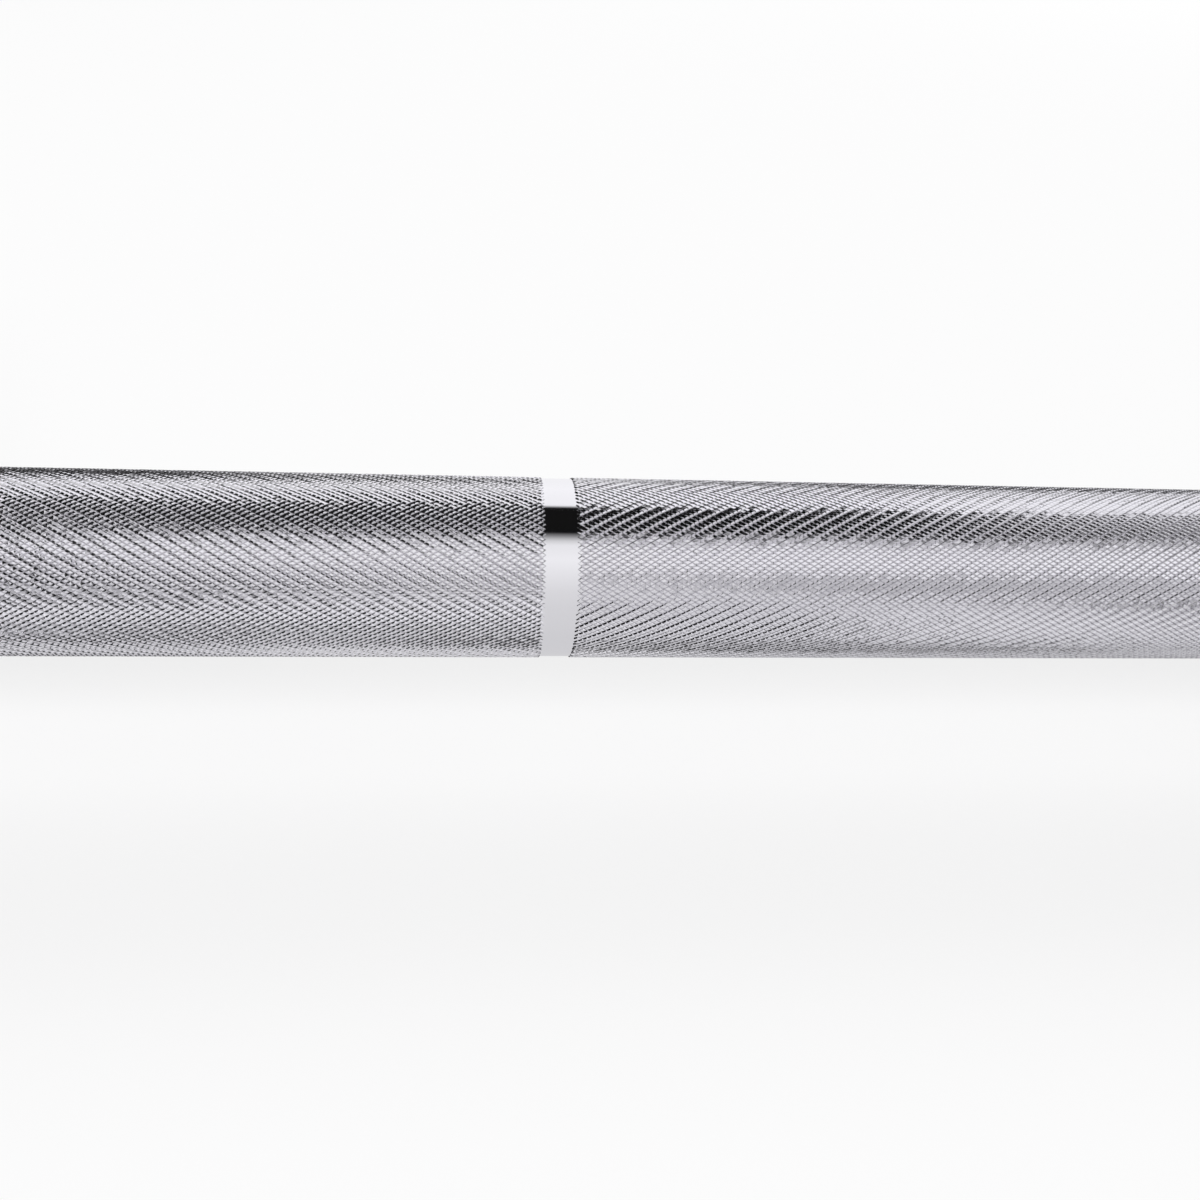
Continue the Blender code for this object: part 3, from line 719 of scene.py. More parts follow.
# Folds that run out from a seam: their height, their length and how many to a metre; and the slack
FOLD_HEIGHT = 0.0012
FOLD_FADE = 0.03
FOLDS = 70
SLACK_HEIGHT = 0.0007
SLACK_WAVES = 18
# Puckers round a seam: their number, depth, and the length over which they fade
MITRE_PUCKERS = (34, 0.0011, 0.011)
FRONT_PUCKERS = (26, 0.0009, 0.012)
DISC_RIM_PUCKERS = (26, 0.0008, 0.003)
DISC_RAIL_PUCKERS = (15, 0.0016, 0.004)
# The front disc's rings, as shares of its rim, and its crown between the rim and the rail
FRONT_DISC_SHARES = (0.88, 0.76, 0.64, 0.52, 0.42, 0.28)
FRONT_DISC_CROWN = 0.0026
# The disc's radius for the fading of its puckers
FRONT_DISC_WIDTH = 0.02
SEAM_RADIUS = END_RADIUS - 0.0016
FRONT_PIPING_RADIUS = END_RADIUS - 0.0040
FRONT_PIPING_IN = 0.0022
PIPING_STEPS = 120
HEM_RADIUS = 0.0015
HEM_STEPS = 72
# How far round a seam the cover is held, and at the front how far back and out from the rail
SEWN_REACH = 0.004
SEWN_FRONT = 0.006
SEWN_RAIL = 0.005
CLOTH_FRAMES = 20
SWELL = 0.0030
SINK = 0.0014
# Half lengths of what cuts a way through a roll: any that is longer than the roll
NECK_WAY_REACH = 0.3
SHOULDER_WAY_REACH = 0.2
RAIL_WAY_REACH = 0.4
WAY_FACETS = 96

# Stitches and closure flaps
STITCH_PITCH = 0.0046
STITCH_RADIUS = 0.00042
STITCH_SIDES = 6
STITCH_SHARP = math.radians(80)
# Half a stitch's length as a share of the pitch, its middle's height, and how far its ends dive
STITCH_HALF = 0.36
STITCH_LIFT = 0.0002
STITCH_DIVE = 0.0005
# A stitch's rings: their place from -1 to 1 along it, and their share of its radius
STITCH_RINGS = ((-1.0, 0.15), (-0.8, 0.8), (-0.3, 1.0), (0.3, 1.0), (0.8, 0.8), (1.0, 0.15))
SEAM_STITCH_INSET = 0.0065
SEAM_LINE_STEPS = 240
# From outside, so that the nearest point is on the outer side
FLAP_OVER = PAD_RADIUS + 0.008
FLAP_THICKNESS = 0.0015
FLAP_SINK = 0.0006
FLAP_HALF_WIDTH = 0.017
FLAP_ROWS = 56
FLAP_COLUMNS = 16
FLAP_SHARP = math.radians(50)
FLAP_STITCH_INSET = 0.0035
FLAP_STITCH_STEPS = 120
# Where the flaps lie: their turn round the roll from the top, and their ends
NECK_FLAP_TURN = math.radians(78)
NECK_FLAP_MARGIN = 0.030
SHOULDER_FLAP_TURN = math.radians(70)
SHOULDER_FLAP_START = -0.050
SHOULDER_FLAP_END = 0.016 - PAD_REACH


def roll_radius(share):
    return PAD_RADIUS - PAD_DRAW_IN * abs(2 * share - 1) ** 5


def seam_dip(distance, depth, length):
    """How far a roll is drawn in at a seam, fading over length."""
    return depth * math.exp(-distance / length)


def wrinkle(place, distance):
    """Small folds that run out from a seam and fade, on slow waves of slack."""
    fold = noise.noise(Vector((place.x * FOLDS, place.y * FOLDS, place.z * FOLDS)))
    slow = noise.noise(Vector((place.x * SLACK_WAVES, place.y * SLACK_WAVES, place.z * SLACK_WAVES + 5)))
    return FOLD_HEIGHT * fold * math.exp(-distance / FOLD_FADE) + SLACK_HEIGHT * slow


def gather(turn, distance, count, depth, reach):
    """Puckers that a seam thread draws across itself; they fade over reach."""
    drift = 0.9 * noise.noise(Vector((2.3 * math.sin(turn), 2.3 * math.cos(turn), count)))
    uneven = abs(noise.noise(Vector((4.1 * math.sin(turn), 4.1 * math.cos(turn), 2 * count))))
    strength = 0.6 + 0.8 * uneven
    wave = 0.5 + 0.5 * math.cos(count * turn + 6 * drift)
    return -depth * strength * wave * math.exp(-distance / reach)


def end_round(distance, radius):
    """How far the surface falls in over a rounded edge."""
    if distance >= radius:
        return 0.0
    return radius - math.sqrt(radius**2 - (radius - distance) ** 2)


def spread(steps):
    """Shares from 0 to 1, closer together at both ends."""
    made = []
    for k in range(steps + 1):
        t = k / steps
        made.append((1 - RING_CROWD) * t + RING_CROWD * (0.5 - 0.5 * math.cos(math.pi * t)))
    return made


def neck_spot(share, turn):
    """A point on the neck roll: share runs from left mitre to right mitre, turn is 90 degrees at the back."""
    y, z = math.sin(turn), math.cos(turn)
    radius = roll_radius(share)
    distance = (1 - abs(2 * share - 1)) * (RAIL_X - MITRE_IN + radius * y)
    radius -= end_round(distance, PAD_SEAM_ROUND) + seam_dip(distance, *MITRE_DIP)
    reach = RAIL_X - MITRE_IN + radius * y
    radius += wrinkle(Vector(((2 * share - 1) * reach, radius * y, radius * z)), distance)
    radius += gather(turn, distance, *MITRE_PUCKERS)
    reach = RAIL_X - MITRE_IN + radius * y
    return YOKE_AXIS + Vector(((2 * share - 1) * reach, radius * y, radius * z))


def shoulder_spot(side, share, turn):
    """A point on a shoulder roll: share runs from its mitre to its front, turn is 90 degrees on the right."""
    x, z = math.sin(turn), math.cos(turn)
    radius = roll_radius(share)
    length = side * radius * x - MITRE_IN + PAD_REACH
    mitre, tip = share * length, (1 - share) * length
    radius -= end_round(mitre, PAD_SEAM_ROUND) + end_round(tip, PAD_FRONT_ROUND)
    radius -= seam_dip(mitre, *MITRE_DIP) + seam_dip(tip, *FRONT_DIP)
    radius += wrinkle(Vector((radius * x + side, tip - PAD_REACH, radius * z)), min(mitre, tip))
    radius += gather(turn, mitre, *MITRE_PUCKERS) + gather(turn, tip, *FRONT_PUCKERS)
    y = (1 - share) * (side * radius * x - MITRE_IN) - share * PAD_REACH
    return YOKE_AXIS + Vector((side * RAIL_X + radius * x, y, radius * z))


def neck_rings():
    turns = turns_round(ROLL_FACETS)
    return [[neck_spot(share, turn) for turn in turns] for share in spread(NECK_STEPS)]


def shoulder_rings(side):
    """The roll's side, then its front disc, which is crowned between the rim and the rail."""
    turns = turns_round(ROLL_FACETS)
    rings = [[shoulder_spot(side, share, turn) for turn in turns] for share in spread(SHOULDER_STEPS)]
    centre = YOKE_AXIS + Vector((side * RAIL_X, -PAD_REACH, 0))
    rim = rings[-1]
    rail_share = FRONT_DISC_SHARES[-2]
    for share in FRONT_DISC_SHARES:
        crown = FRONT_DISC_CROWN * math.sin(math.pi * min(1.0, (1 - share) / (1 - rail_share)))
        ring = []
        for turn, point in zip(turns, rim):
            pucker = gather(turn, FRONT_DISC_WIDTH * (share - rail_share), *DISC_RAIL_PUCKERS)
            pucker += gather(turn, FRONT_DISC_WIDTH * (1 - share), *DISC_RIM_PUCKERS)
            ring.append(centre + share * (point - centre) + Vector((0, -crown - pucker, 0)))
        rings.append(ring)
    return rings


def sewn_on_neck(point):
    place = point - YOKE_AXIS
    return RAIL_X - MITRE_IN + place.y - abs(place.x) < SEWN_REACH


def sewn_on_shoulder(side, point):
    """Whether the point is held: at the mitre, at the front piping or at the rail."""
    place = point - YOKE_AXIS - Vector((side * RAIL_X, 0, 0))
    if side * place.x - MITRE_IN - place.y < SEWN_REACH:
        return True
    out = math.hypot(place.x, place.z)
    held = abs(out - FRONT_PIPING_RADIUS) < SEWN_REACH or out < RAIL_RADIUS + SEWN_RAIL
    return held and place.y + PAD_REACH < SEWN_FRONT


def read_vectors(vertices, key):
    made = np.empty(3 * len(vertices), np.float32)
    vertices.foreach_get(key, made)
    return made.reshape(-1, 3)


def puff(piece, sewn):
    """Lets the cover swell and crease as cloth under pressure, held where it is sewn."""
    mesh = piece.data
    before = read_vectors(mesh.vertices, "co")
    outwards = read_vectors(mesh.vertices, "normal")
    held = piece.vertex_groups.new(name="sewn")
    held.add([v.index for v in mesh.vertices if sewn(v.co)], 1.0, "REPLACE")
    cloth = piece.modifiers.new("cover", "CLOTH")
    cloth.point_cache.frame_start = 1
    cloth.point_cache.frame_end = CLOTH_FRAMES
    cloth.collision_settings.use_collision = False
    settings = cloth.settings
    settings.quality = 6
    settings.mass = 0.2
    settings.tension_stiffness = settings.compression_stiffness = 22
    settings.shear_stiffness = 12
    settings.bending_stiffness = 0.6
    settings.air_damping = 4
    settings.vertex_group_mass = "sewn"
    settings.shrink_min = -0.025
    settings.use_pressure = True
    settings.uniform_pressure_force = 4
    settings.effector_weights.gravity = 0
    for frame_number in range(1, CLOTH_FRAMES + 1):
        bpy.context.scene.frame_set(frame_number)
    graph = bpy.context.evaluated_depsgraph_get()
    move = read_vectors(piece.evaluated_get(graph).data.vertices, "co") - before
    piece.modifiers.clear()
    piece.vertex_groups.clear()
    bpy.context.scene.frame_set(1)
    # The foam inside lets the cover rise more than it sinks
    rise = (move * outwards).sum(1)
    slide = move - rise[:, None] * outwards
    size = np.linalg.norm(slide, axis=1, keepdims=True)
    slide *= np.minimum(1, SINK / np.maximum(size, 1e-9))
    rise = np.where(rise > 0, SWELL * np.tanh(rise / SWELL), SINK * np.tanh(rise / SINK))
    mesh.vertices.foreach_set("co", (before + slide + rise[:, None] * outwards).ravel())


def apply_modifiers(piece):
    graph = bpy.context.evaluated_depsgraph_get()
    mesh = bpy.data.meshes.new_from_object(piece.evaluated_get(graph))
    piece.modifiers.clear()
    piece.data = mesh


def subdivide_once(piece):
    modifier = piece.modifiers.new("finer", "SUBSURF")
    modifier.levels = modifier.render_levels = 1
    apply_modifiers(piece)


def bore_out(piece, centre, along, radius, reach):
    """Cuts a round way through a piece for good."""
    across = along.orthogonal().normalized()
    aside = along.cross(across)
    rings = [circle(centre + s * reach * along, across, aside, radius, WAY_FACETS) for s in (-1, 1)]
    cutter = loft("cutter", rings, piece.data.materials[0], "bar")
    modifier = piece.modifiers.new("way", "BOOLEAN")
    modifier.operation = "DIFFERENCE"
    modifier.solver = "EXACT"
    modifier.object = cutter
    apply_modifiers(piece)
    bpy.data.objects.remove(cutter)


def skin_of(piece):
    """The piece's surface, for finding the nearest point on it."""
    mesh = piece.data
    return BVHTree.FromPolygons([v.co for v in mesh.vertices], [p.vertices for p in mesh.polygons])


def sweep_loop(name, points, radius, material, body, count=12):
    """A round cord along a closed line of points."""
    rings = []
    middle = sum(points, Vector()) / len(points)
    for k, point in enumerate(points):
        ahead = (points[(k + 1) % len(points)] - points[k - 1]).normalized()
        out = (point - middle).normalized()
        across = (out - out.dot(ahead) * ahead).normalized()
        rings.append(circle(point, across, ahead.cross(across), radius, count))
    return loft(name, rings, material, body, loop=True)


def hem_ring(name, skin, centre, along, tube_radius, material):
    """A rolled hem where a tube comes out of a cover: it follows the cover's surface round the tube."""
    across = along.orthogonal().normalized()
    aside = along.cross(across)
    radius = tube_radius + SEAT_GAP + HEM_RADIUS
    points = []
    for point in circle(centre + PAD_REACH * along, across, aside, radius, HEM_STEPS):
        points.append(skin.ray_cast(point, -along)[0])
    return sweep_loop(name, points, HEM_RADIUS, material, "bar")


def stitch_places(skin, line):
    """(centre, up, ahead) of each stitch along a line near the skin."""
    spots = [skin.find_nearest(point)[:2] for point in line]
    steps = [(b[0] - a[0]).length for a, b in zip(spots, spots[1:])]
    total = sum(steps)
    count = int(total / STITCH_PITCH)
    travelled, k = 0.0, 0
    made = []
    for n in range(count):
        wanted = (n + 0.5) * total / count
        while travelled + steps[k] < wanted:
            travelled += steps[k]
            k += 1
        share = (wanted - travelled) / steps[k]
        centre = spots[k][0].lerp(spots[k + 1][0], share)
        up = spots[k][1].lerp(spots[k + 1][1], share).normalized()
        ahead = (spots[k + 1][0] - spots[k][0]).normalized()
        made.append((centre, up, ahead))
    return made


def stitch_rows(name, skin, lines, thread):
    """Rows of single stitches along lines: each is a short round thread that dives in at its ends."""
    verts, faces = [], []
    for line in lines:
        for centre, up, ahead in stitch_places(skin, line):
            across = up.cross(ahead)
            base = len(verts)
            for place, width in STITCH_RINGS:
                height = STITCH_LIFT - STITCH_DIVE * place**4
                middle = centre + STITCH_HALF * STITCH_PITCH * place * ahead + height * up
                verts += circle(middle, across, up, STITCH_RADIUS * width, STITCH_SIDES)
            last = len(verts) - STITCH_SIDES
            for ring in range(base, last, STITCH_SIDES):
                for m in range(STITCH_SIDES):
                    a, b = ring + m, ring + (m + 1) % STITCH_SIDES
                    faces.append((a, b, b + STITCH_SIDES, a + STITCH_SIDES))
            faces.append(tuple(range(base, base + STITCH_SIDES)))
            faces.append(tuple(range(last, last + STITCH_SIDES)))
    verts = [tuple(v) for v in verts]
    return face_outwards(piece_from(name, verts, faces, thread, "bar", sharp=STITCH_SHARP))


def closure_flap(name, skin, spot, length, material):
    """The strip that closes a cover: it lies on the skin along spot(along, across), both from -1 to 1."""
    top, under = [], []
    for i in range(FLAP_ROWS + 1):
        along = 2 * i / FLAP_ROWS - 1
        for j in range(FLAP_COLUMNS + 1):
            across = math.sin(math.pi / 2 * (2 * j / FLAP_COLUMNS - 1))
            place, normal = skin.find_nearest(spot(along, across))[:2]
            border = min((1 - abs(along)) * length / 2, (1 - abs(across)) * FLAP_HALF_WIDTH)
            edge = 1 - min(1.0, border / FLAP_THICKNESS)
            top.append(place + FLAP_THICKNESS * math.sqrt(1 - edge**2) * normal)
            under.append(place - FLAP_SINK * normal)
    verts = [tuple(v) for v in top + under]
    faces = []
    wide = FLAP_COLUMNS + 1
    for i in range(FLAP_ROWS):
        for j in range(FLAP_COLUMNS):
            a = i * wide + j
            quad = (a, a + 1, a + wide + 1, a + wide)
            faces.append(quad)
            faces.append(tuple(len(top) + n for n in reversed(quad)))
    rim = list(range(wide)) + [i * wide + FLAP_COLUMNS for i in range(1, FLAP_ROWS + 1)]
    rim += [FLAP_ROWS * wide + j for j in reversed(range(FLAP_COLUMNS))]
    rim += [i * wide for i in reversed(range(1, FLAP_ROWS))]
    for a, b in zip(rim, rim[1:] + rim[:1]):
        faces.append((b, a, len(top) + a, len(top) + b))
    return face_outwards(piece_from(name, verts, faces, material, "bar", sharp=FLAP_SHARP))


def flap_stitching(spot, length):
    """Two rows of stitches inside the flap's long edges."""
    inside = 1 - FLAP_STITCH_INSET / FLAP_HALF_WIDTH
    reach = 1 - 2 * FLAP_STITCH_INSET / length
    places = [reach * (2 * k / FLAP_STITCH_STEPS - 1) for k in range(FLAP_STITCH_STEPS + 1)]
    return [[spot(along, side * inside) for along in places] for side in (-1, 1)]


def make_neck_roll(skin, thread):
    roll = loft("neck_roll", neck_rings(), skin, "bar", sharp=ROLL_SHARP)
    puff(roll, sewn_on_neck)
    subdivide_once(roll)
    bore_out(roll, YOKE_AXIS, Vector((1, 0, 0)), SHAFT_RADIUS + SEAT_GAP, NECK_WAY_REACH)
    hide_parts("neck_cover", "neck_foam")
    surface = skin_of(roll)
    length = 2 * (RAIL_X - NECK_FLAP_MARGIN)

    def spot(along, across):
        turn = NECK_FLAP_TURN + across * FLAP_HALF_WIDTH / PAD_RADIUS
        y, z = FLAP_OVER * math.sin(turn), FLAP_OVER * math.cos(turn)
        return YOKE_AXIS + Vector((along * length / 2, y, z))

    flap = closure_flap("neck_closure_flap", surface, spot, length, skin)
    stitch_rows("neck_flap_stitching", skin_of(flap), flap_stitching(spot, length), thread)
    lines = [[], []]
    for turn in turns_round(SEAM_LINE_STEPS) + [0]:
        inset = SEAM_STITCH_INSET / (2 * (RAIL_X - MITRE_IN + SEAM_RADIUS * math.sin(turn)))
        lines[0].append(neck_spot(inset, turn))
        lines[1].append(neck_spot(1 - inset, turn))
    stitch_rows("neck_seam_stitching", surface, lines, thread)


def make_shoulder_roll(name, side, skin, thread):
    rail = YOKE_AXIS + Vector((side * RAIL_X, 0, 0))
    roll = loft(f"{name}_shoulder_roll", shoulder_rings(side), skin, "bar", sharp=ROLL_SHARP)
    puff(roll, lambda point: sewn_on_shoulder(side, point))
    subdivide_once(roll)
    bore_out(roll, rail, Vector((1, 0, 0)), SHAFT_RADIUS + SEAT_GAP, SHOULDER_WAY_REACH)
    bore_out(roll, rail, Vector((0, 1, 0)), RAIL_RADIUS + SEAT_GAP, RAIL_WAY_REACH)
    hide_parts(f"{name}_shoulder_cover", f"{name}_shoulder_foam")
    surface = skin_of(roll)
    mitre, front = [], []
    for turn in turns_round(PIPING_STEPS):
        a, z = SEAM_RADIUS * math.sin(turn), SEAM_RADIUS * math.cos(turn)
        mitre.append(rail + Vector((side * a, a, z)))
        a, z = FRONT_PIPING_RADIUS * math.sin(turn), FRONT_PIPING_RADIUS * math.cos(turn)
        front.append(rail + Vector((a, FRONT_PIPING_IN - PAD_REACH, z)))
    for place, line in (("mitre", mitre), ("front", front)):
        piping = sweep_loop(f"{name}_{place}_piping", line, PIPING_RADIUS, skin, "bar")
    hem_ring(f"{name}_shaft_hem", surface, rail, Vector((side, 0, 0)), SHAFT_RADIUS, skin)
    disc = rail - Vector((0, PAD_REACH, 0))
    hem_ring(f"{name}_rail_hem", surface, disc, Vector((0, -1, 0)), RAIL_RADIUS, skin)
    length = SHOULDER_FLAP_START - SHOULDER_FLAP_END
    middle = (SHOULDER_FLAP_START + SHOULDER_FLAP_END) / 2

    def spot(along, across):
        turn = SHOULDER_FLAP_TURN + across * FLAP_HALF_WIDTH / PAD_RADIUS
        x, z = side * FLAP_OVER * math.sin(turn), FLAP_OVER * math.cos(turn)
        return rail + Vector((x, middle - along * length / 2, z))

    flap = closure_flap(f"{name}_closure_flap", surface, spot, length, skin)
    stitch_rows(f"{name}_flap_stitching", skin_of(flap), flap_stitching(spot, length), thread)
    lines = [[], []]
    for turn in turns_round(SEAM_LINE_STEPS) + [0]:
        length = PAD_REACH - MITRE_IN + side * SEAM_RADIUS * math.sin(turn)
        lines[0].append(shoulder_spot(side, SEAM_STITCH_INSET / length, turn))
        lines[1].append(shoulder_spot(side, 1 - (SEAM_STITCH_INSET + PAD_FRONT_ROUND / 2) / length, turn))
    stitch_rows(f"{name}_seam_stitching", surface, lines, thread)


def make_pads(skin, thread):
    make_neck_roll(skin, thread)
    for name, side in (("left", -1), ("right", 1)):
        make_shoulder_roll(name, side, skin, thread)


# Sleeves
SLEEVE_FACETS = 128


def sleeve_profile():
    made = [(SLEEVE_START, BORE_RADIUS), (SLEEVE_START, SLEEVE_RADIUS)]
    made.append((SLEEVE_END - SLEEVE_END_CHAMFER, SLEEVE_RADIUS))
    made.append((SLEEVE_END, SLEEVE_RADIUS - SLEEVE_END_CHAMFER))
    made.append((SLEEVE_END, BORE_RADIUS))
    return rounded(made, SLEEVE_EDGE_ROUND)


def collar_profile():
    """The stop for the plates: it sits on the sleeve, and its lip closes it down to the shaft."""
    mouth = SHAFT_RADIUS + COLLAR_MOUTH_CLEARANCE
    seat = SLEEVE_RADIUS + SEAT_GAP
    made = [(0, mouth), (0, COLLAR_RADIUS - COLLAR_INNER_CHAMFER), (COLLAR_INNER_CHAMFER, COLLAR_RADIUS)]
    made.append((COLLAR_WIDTH - COLLAR_OUTER_CHAMFER, COLLAR_RADIUS))
    made.append((COLLAR_WIDTH, COLLAR_RADIUS - COLLAR_OUTER_CHAMFER))
    made += [(COLLAR_WIDTH, seat), (COLLAR_LIP, seat), (COLLAR_LIP, mouth)]
    return rounded(made, COLLAR_EDGE_ROUND)


def cap_profile():
    """A plug in the sleeve's bore, with a dished face in a raised rim."""
    plug = BORE_RADIUS - SEAT_GAP
    seat = SLEEVE_END + SEAT_GAP
    start = SLEEVE_END - CAP_PLUG_LENGTH
    dish = CAP_FACE - CAP_DISH_DEPTH
    rim = CAP_RADIUS - CAP_RIM_WIDTH
    made = [(start, 0), (start, plug), (seat, plug), (seat, CAP_RADIUS)]
    made += [(CAP_FACE - CAP_CHAMFER, CAP_RADIUS), (CAP_FACE, CAP_RADIUS - CAP_CHAMFER)]
    made += [(CAP_FACE, rim), (dish, rim - CAP_DISH_DEPTH), (dish, 0)]
    return rounded(made, CAP_EDGE_ROUND)


def make_sleeves(metals):
    turned = (
        ("sleeve_tube", "sleeve", sleeve_profile(), "chrome", True),
        ("collar_ring", "collar", collar_profile(), "chrome", True),
        ("cap", "end_cap", cap_profile(), "cap", False),
    )
    for name, side in (("left", -1), ("right", 1)):
        centre = SLEEVE_AXIS + Vector((side * COLLAR_X, 0, 0))
        along = Vector((side, 0, 0))
        for piece_name, node, profile, metal, bored in turned:
            piece = lathe(f"{name}_{piece_name}", profile, centre, along, metals[metal],
                          f"{name}_sleeve", SLEEVE_FACETS, bored)
            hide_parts(f"{name}_{node}")


def finish_inner_nodes(metals):
    """The nodes that stay as they are get their metal."""
    kinds = {
        "inner_bushing": "bronze", "outer_bushing": "bronze", "inner_washer": "steel",
        "outer_washer": "steel", "circlip": "spring", "rail_weld": "weld",
    }
    for side in ("left", "right"):
        for kind, metal in kinds.items():
            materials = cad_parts[f"{side}_{kind}"].data.materials
            materials.clear()
            materials.append(metals[metal])


# Camera
CAMERA_TILT = math.radians(32)
CAMERA_DISTANCE = 0.2088
CAMERA_BESIDE_MARK = -0.0170
CAMERA_YAW = math.radians(6.79)
CAMERA_PITCH = math.radians(-1.486)
CAMERA_ROLL = math.radians(0.607)
CAMERA_LENS = 37.05
CAMERA_SENSOR = 36.0
CAMERA_CLIP = (0.005, 60.0)


def make_camera():
    """The photograph's view of the right ring mark, turned up about the bar's own axis."""
    made = bpy.data.objects.new("camera", bpy.data.cameras.new("camera"))
    bpy.context.scene.collection.objects.link(made)
    made.data.lens = CAMERA_LENS
    made.data.sensor_width = CAMERA_SENSOR
    made.data.clip_start, made.data.clip_end = CAMERA_CLIP
    ahead = Vector((
        math.sin(CAMERA_YAW) * math.cos(CAMERA_PITCH),
        math.cos(CAMERA_YAW) * math.cos(CAMERA_PITCH),
        math.sin(CAMERA_PITCH),
    ))
    level = ahead.cross(Vector((0, 0, 1))).normalized()
    right = math.cos(CAMERA_ROLL) * level + math.sin(CAMERA_ROLL) * level.cross(ahead)
    turn = Matrix((right, right.cross(ahead), -ahead)).transposed().to_4x4()
    place = Matrix.Translation(Vector((CAMERA_BESIDE_MARK, -CAMERA_DISTANCE, 0)))
    mark = SLEEVE_AXIS + Vector((RING_MARK_X, 0, 0))
    tilt = Matrix.Rotation(-CAMERA_TILT, 4, "X")
    made.matrix_world = Matrix.Translation(mark) @ tilt @ place @ turn
    bpy.context.scene.camera = made


# Studio: what the metal sees round the bar, as (degrees above the photograph's view direction, grey).
# A direction's reach is its part along the bar, -1 at the left end and 1 at the right.
STUDIO_TONES = (
    (-180, 0.66), (-101, 0.67), (-51, 0.71), (-31, 0.75), (-20, 0.80), (10, 0.93), (28, 0.87),
    (34, 0.66), (40, 0.25), (45, 0.006), (82, 0.006), (86, 0.95), (120, 1.0), (180, 0.9),
)
# The black card overhead reaches this far to both sides, with a soft edge
CARD_REACH = 0.54
CARD_EDGE = 0.10
# Beyond its ends
END_TONES = (
    (-180, 0.30), (-72, 0.50), (-56, 0.50), (-50, 0.05), (-38, 0.05), (-30, 1.0), (36, 1.0), (50, 0.30),
    (84, 0.30), (94, 0.95), (102, 0.95), (180, 0.80),
)
# The black flag at the left: its start, end and soft edge, and its tones
FLAG_REACH = (-0.90, -0.385, 0.02)
FLAG_TONES = (
    (-180, 0.30), (-168, 0.02), (-84, 0.02), (-78, 0.90), (-58, 0.90), (-52, 0.02), (-10, 0.01), (40, 0.01),
    (48, 0.80), (63, 0.80), (72, 0.04), (92, 0.04), (112, 0.30), (126, 0.50), (136, 0.95), (150, 0.95),
    (165, 0.40), (180, 0.30),
)
# Shaded strips on each side of the middle, from start to end with a soft edge, as shares of the tones
SHADE_REACH = (0.16, 1.2, 0.06)
LEFT_SHADE = (
    (-180, 0.35), (-100, 0.35), (-88, 1.0), (-58, 1.0), (-52, 0.38), (-36, 0.38), (-30, 1.0), (136, 1.0),
    (142, 0.08), (160, 0.08), (170, 0.40), (180, 0.35),
)
RIGHT_SHADE = (
    (-180, 0.75), (-110, 0.75), (-95, 1.0), (-32, 1.0), (-26, 0.65), (-10, 0.65), (-4, 1.0), (136, 1.0),
    (142, 0.08), (160, 0.08), (170, 0.60), (180, 0.75),
)
# The tones are a little blue
TONE_BLUE = 1.02
# The even grey that lights what doesn't mirror the room
AMBIENT = 0.50


def make_world():
    """White to the camera, the tones above to what mirrors them, and an even grey to the rest."""
    world = bpy.data.worlds.new("studio")
    bpy.context.scene.world = world
    world.use_nodes = True
    made = Nodes(world.node_tree)
    made.tree.nodes.clear()
    where = made.add("ShaderNodeSeparateXYZ")
    made.feed(made.add("ShaderNodeTexCoord").outputs["Generated"], where.inputs[0])
    x, y, z = where.outputs
    # The angle round the bar, a share of a turn from the photograph's view direction
    angle = made.math("ARCTAN2", z, made.math("MULTIPLY", y, -1.0))
    share = made.math("MULTIPLY_ADD", angle, 1 / (2 * math.pi), 0.5 - CAMERA_TILT / (2 * math.pi))
    share = made.math("FRACT", made.math("ADD", share, 1.0))

    def window(value, start, end, edge):
        """1 between start and end, 0 past them, with soft edges."""
        rise = made.ramp(value, 0.0, 1.0, start - edge, start + edge, kind="SMOOTHSTEP")
        fall = made.ramp(value, 0.0, 1.0, end + edge, end - edge, kind="SMOOTHSTEP")
        return made.math("MULTIPLY", rise, fall)

    def tones_round(tones):
        ramp = made.add("ShaderNodeValToRGB")
        stops = ramp.color_ramp.elements
        while len(stops) > 1:
            stops.remove(stops[0])
        for k, (degrees, grey) in enumerate(tones):
            place = degrees / 360 + 0.5
            stop = stops[0] if k == 0 else stops.new(place)
            stop.position = place
            stop.color = (grey, grey, grey * TONE_BLUE, 1)
        made.feed(share, ramp.inputs[0])
        return ramp.outputs[0]

    past_card = made.ramp(made.math("ABSOLUTE", x), 0.0, 1.0, CARD_REACH - CARD_EDGE, CARD_REACH + CARD_EDGE)
    tones = made.mix(past_card, tones_round(STUDIO_TONES), tones_round(END_TONES))
    for side, shade in ((-1, LEFT_SHADE), (1, RIGHT_SHADE)):
        shaded = window(made.math("MULTIPLY", x, side), *SHADE_REACH)
        tones = made.mix(shaded, tones, tones_round(shade), "MULTIPLY")
    tones = made.mix(window(x, *FLAG_REACH), tones, tones_round(FLAG_TONES))
    camera, sharp = made.rays()
    seen = made.mix(sharp, (AMBIENT, AMBIENT, AMBIENT, 1), tones)
    background = made.add("ShaderNodeBackground")
    made.feed(made.mix(camera, seen, (1, 1, 1, 1)), background.inputs["Color"])
    made.feed(background.outputs[0], made.add("ShaderNodeOutputWorld").inputs["Surface"])


FLOOR_REACH = 14.0
FLOOR_SIDES = 96
# Just under the lowest point of the bar
FLOOR_DROP = 0.0001
# Distances between which the floor's own shading fades, and the share of white it has at each
FLOOR_FADE = (1.6, 5.0)
FLOOR_WHITE = (0.66, 1.0)


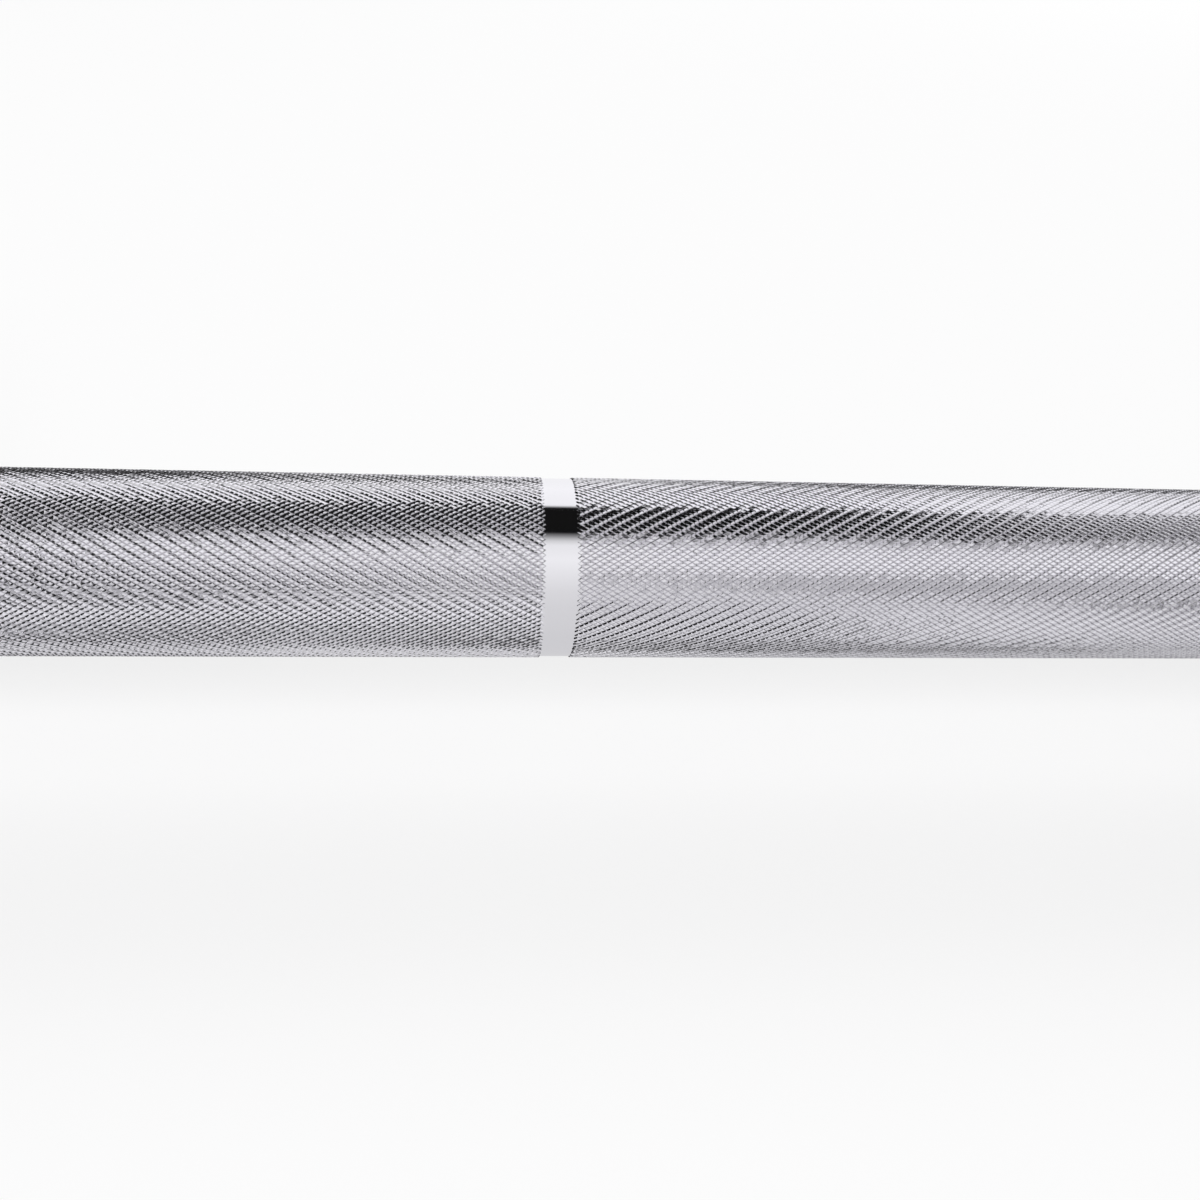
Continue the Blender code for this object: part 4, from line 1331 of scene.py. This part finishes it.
def make_floor():
    """Pale floor that the camera sees nearly white, under a part of its own shading and shadow."""
    bpy.ops.mesh.primitive_circle_add(vertices=FLOOR_SIDES, radius=FLOOR_REACH, fill_type="NGON",
                                      location=(0, 0, -FLOOR_DROP))
    floor = bpy.context.object
    floor.name = "floor"
    made = Material("floor")
    cloud = made.noise(made.place(), scale=1.5, detail=2.0)
    made.set(Base_Color=made.blend(cloud, (0.91, 0.91, 0.915), (0.93, 0.93, 0.93)))
    made.set(Roughness=0.9, Specular_IOR_Level=0.1)
    # It whitens with distance, so that no horizon shows
    distance = made.add("ShaderNodeVectorMath", operation="LENGTH")
    made.feed(made.place(), distance.inputs[0])
    fade = made.ramp(distance.outputs["Value"], *FLOOR_WHITE, *FLOOR_FADE)
    mix = made.add("ShaderNodeMixShader")
    made.feed(made.math("MULTIPLY", made.math("MAXIMUM", *made.rays()), fade), mix.inputs[0])
    made.feed(made.shader.outputs[0], mix.inputs[1])
    made.feed(made.add("ShaderNodeEmission").outputs[0], mix.inputs[2])
    made.feed(mix.outputs[0], made.tree.nodes["Material Output"].inputs["Surface"])
    floor.data.materials.append(made.material)
    floor.visible_glossy = False


def make_lamp(name, location, size, power):
    """A square lamp that looks at the origin and that metal doesn't mirror."""
    lamp = bpy.data.objects.new(name, bpy.data.lights.new(name, "AREA"))
    bpy.context.scene.collection.objects.link(lamp)
    lamp.data.size = size
    lamp.data.energy = power
    lamp.location = location
    lamp.rotation_euler = (-Vector(location)).to_track_quat("-Z", "Y").to_euler()
    lamp.visible_glossy = False


def main():
    bpy.context.scene.view_settings.view_transform = "Standard"
    make_camera()
    make_world()
    make_floor()
    make_lamp("key_lamp", location=(-1.2, -2.0, 2.2), size=1.0, power=66.0)
    make_lamp("back_lamp", location=(1.6, 2.2, 2.0), size=1.2, power=30.0)
    metals = {
        "chrome": chrome("polished_chrome"),
        "cap": chrome("turned_cap_chrome", low=0.08, high=0.18, wear=0.00005),
        "bronze": bare_metal("bearing_bronze", (0.62, 0.40, 0.18), low=0.25, high=0.4),
        "steel": bare_metal("washer_steel", (0.5, 0.5, 0.51), low=0.2, high=0.35),
        "spring": bare_metal("spring_steel", (0.14, 0.14, 0.15), low=0.3, high=0.45),
        "weld": bare_metal("weld_steel", (0.55, 0.54, 0.53), low=0.25, high=0.5),
    }
    make_shaft(metals["chrome"])
    make_knurl(knurled_chrome())
    make_handles(metals["chrome"], rubber(), plastic())
    make_pads(vinyl(), stitch_thread())
    make_sleeves(metals)
    finish_inner_nodes(metals)


main()
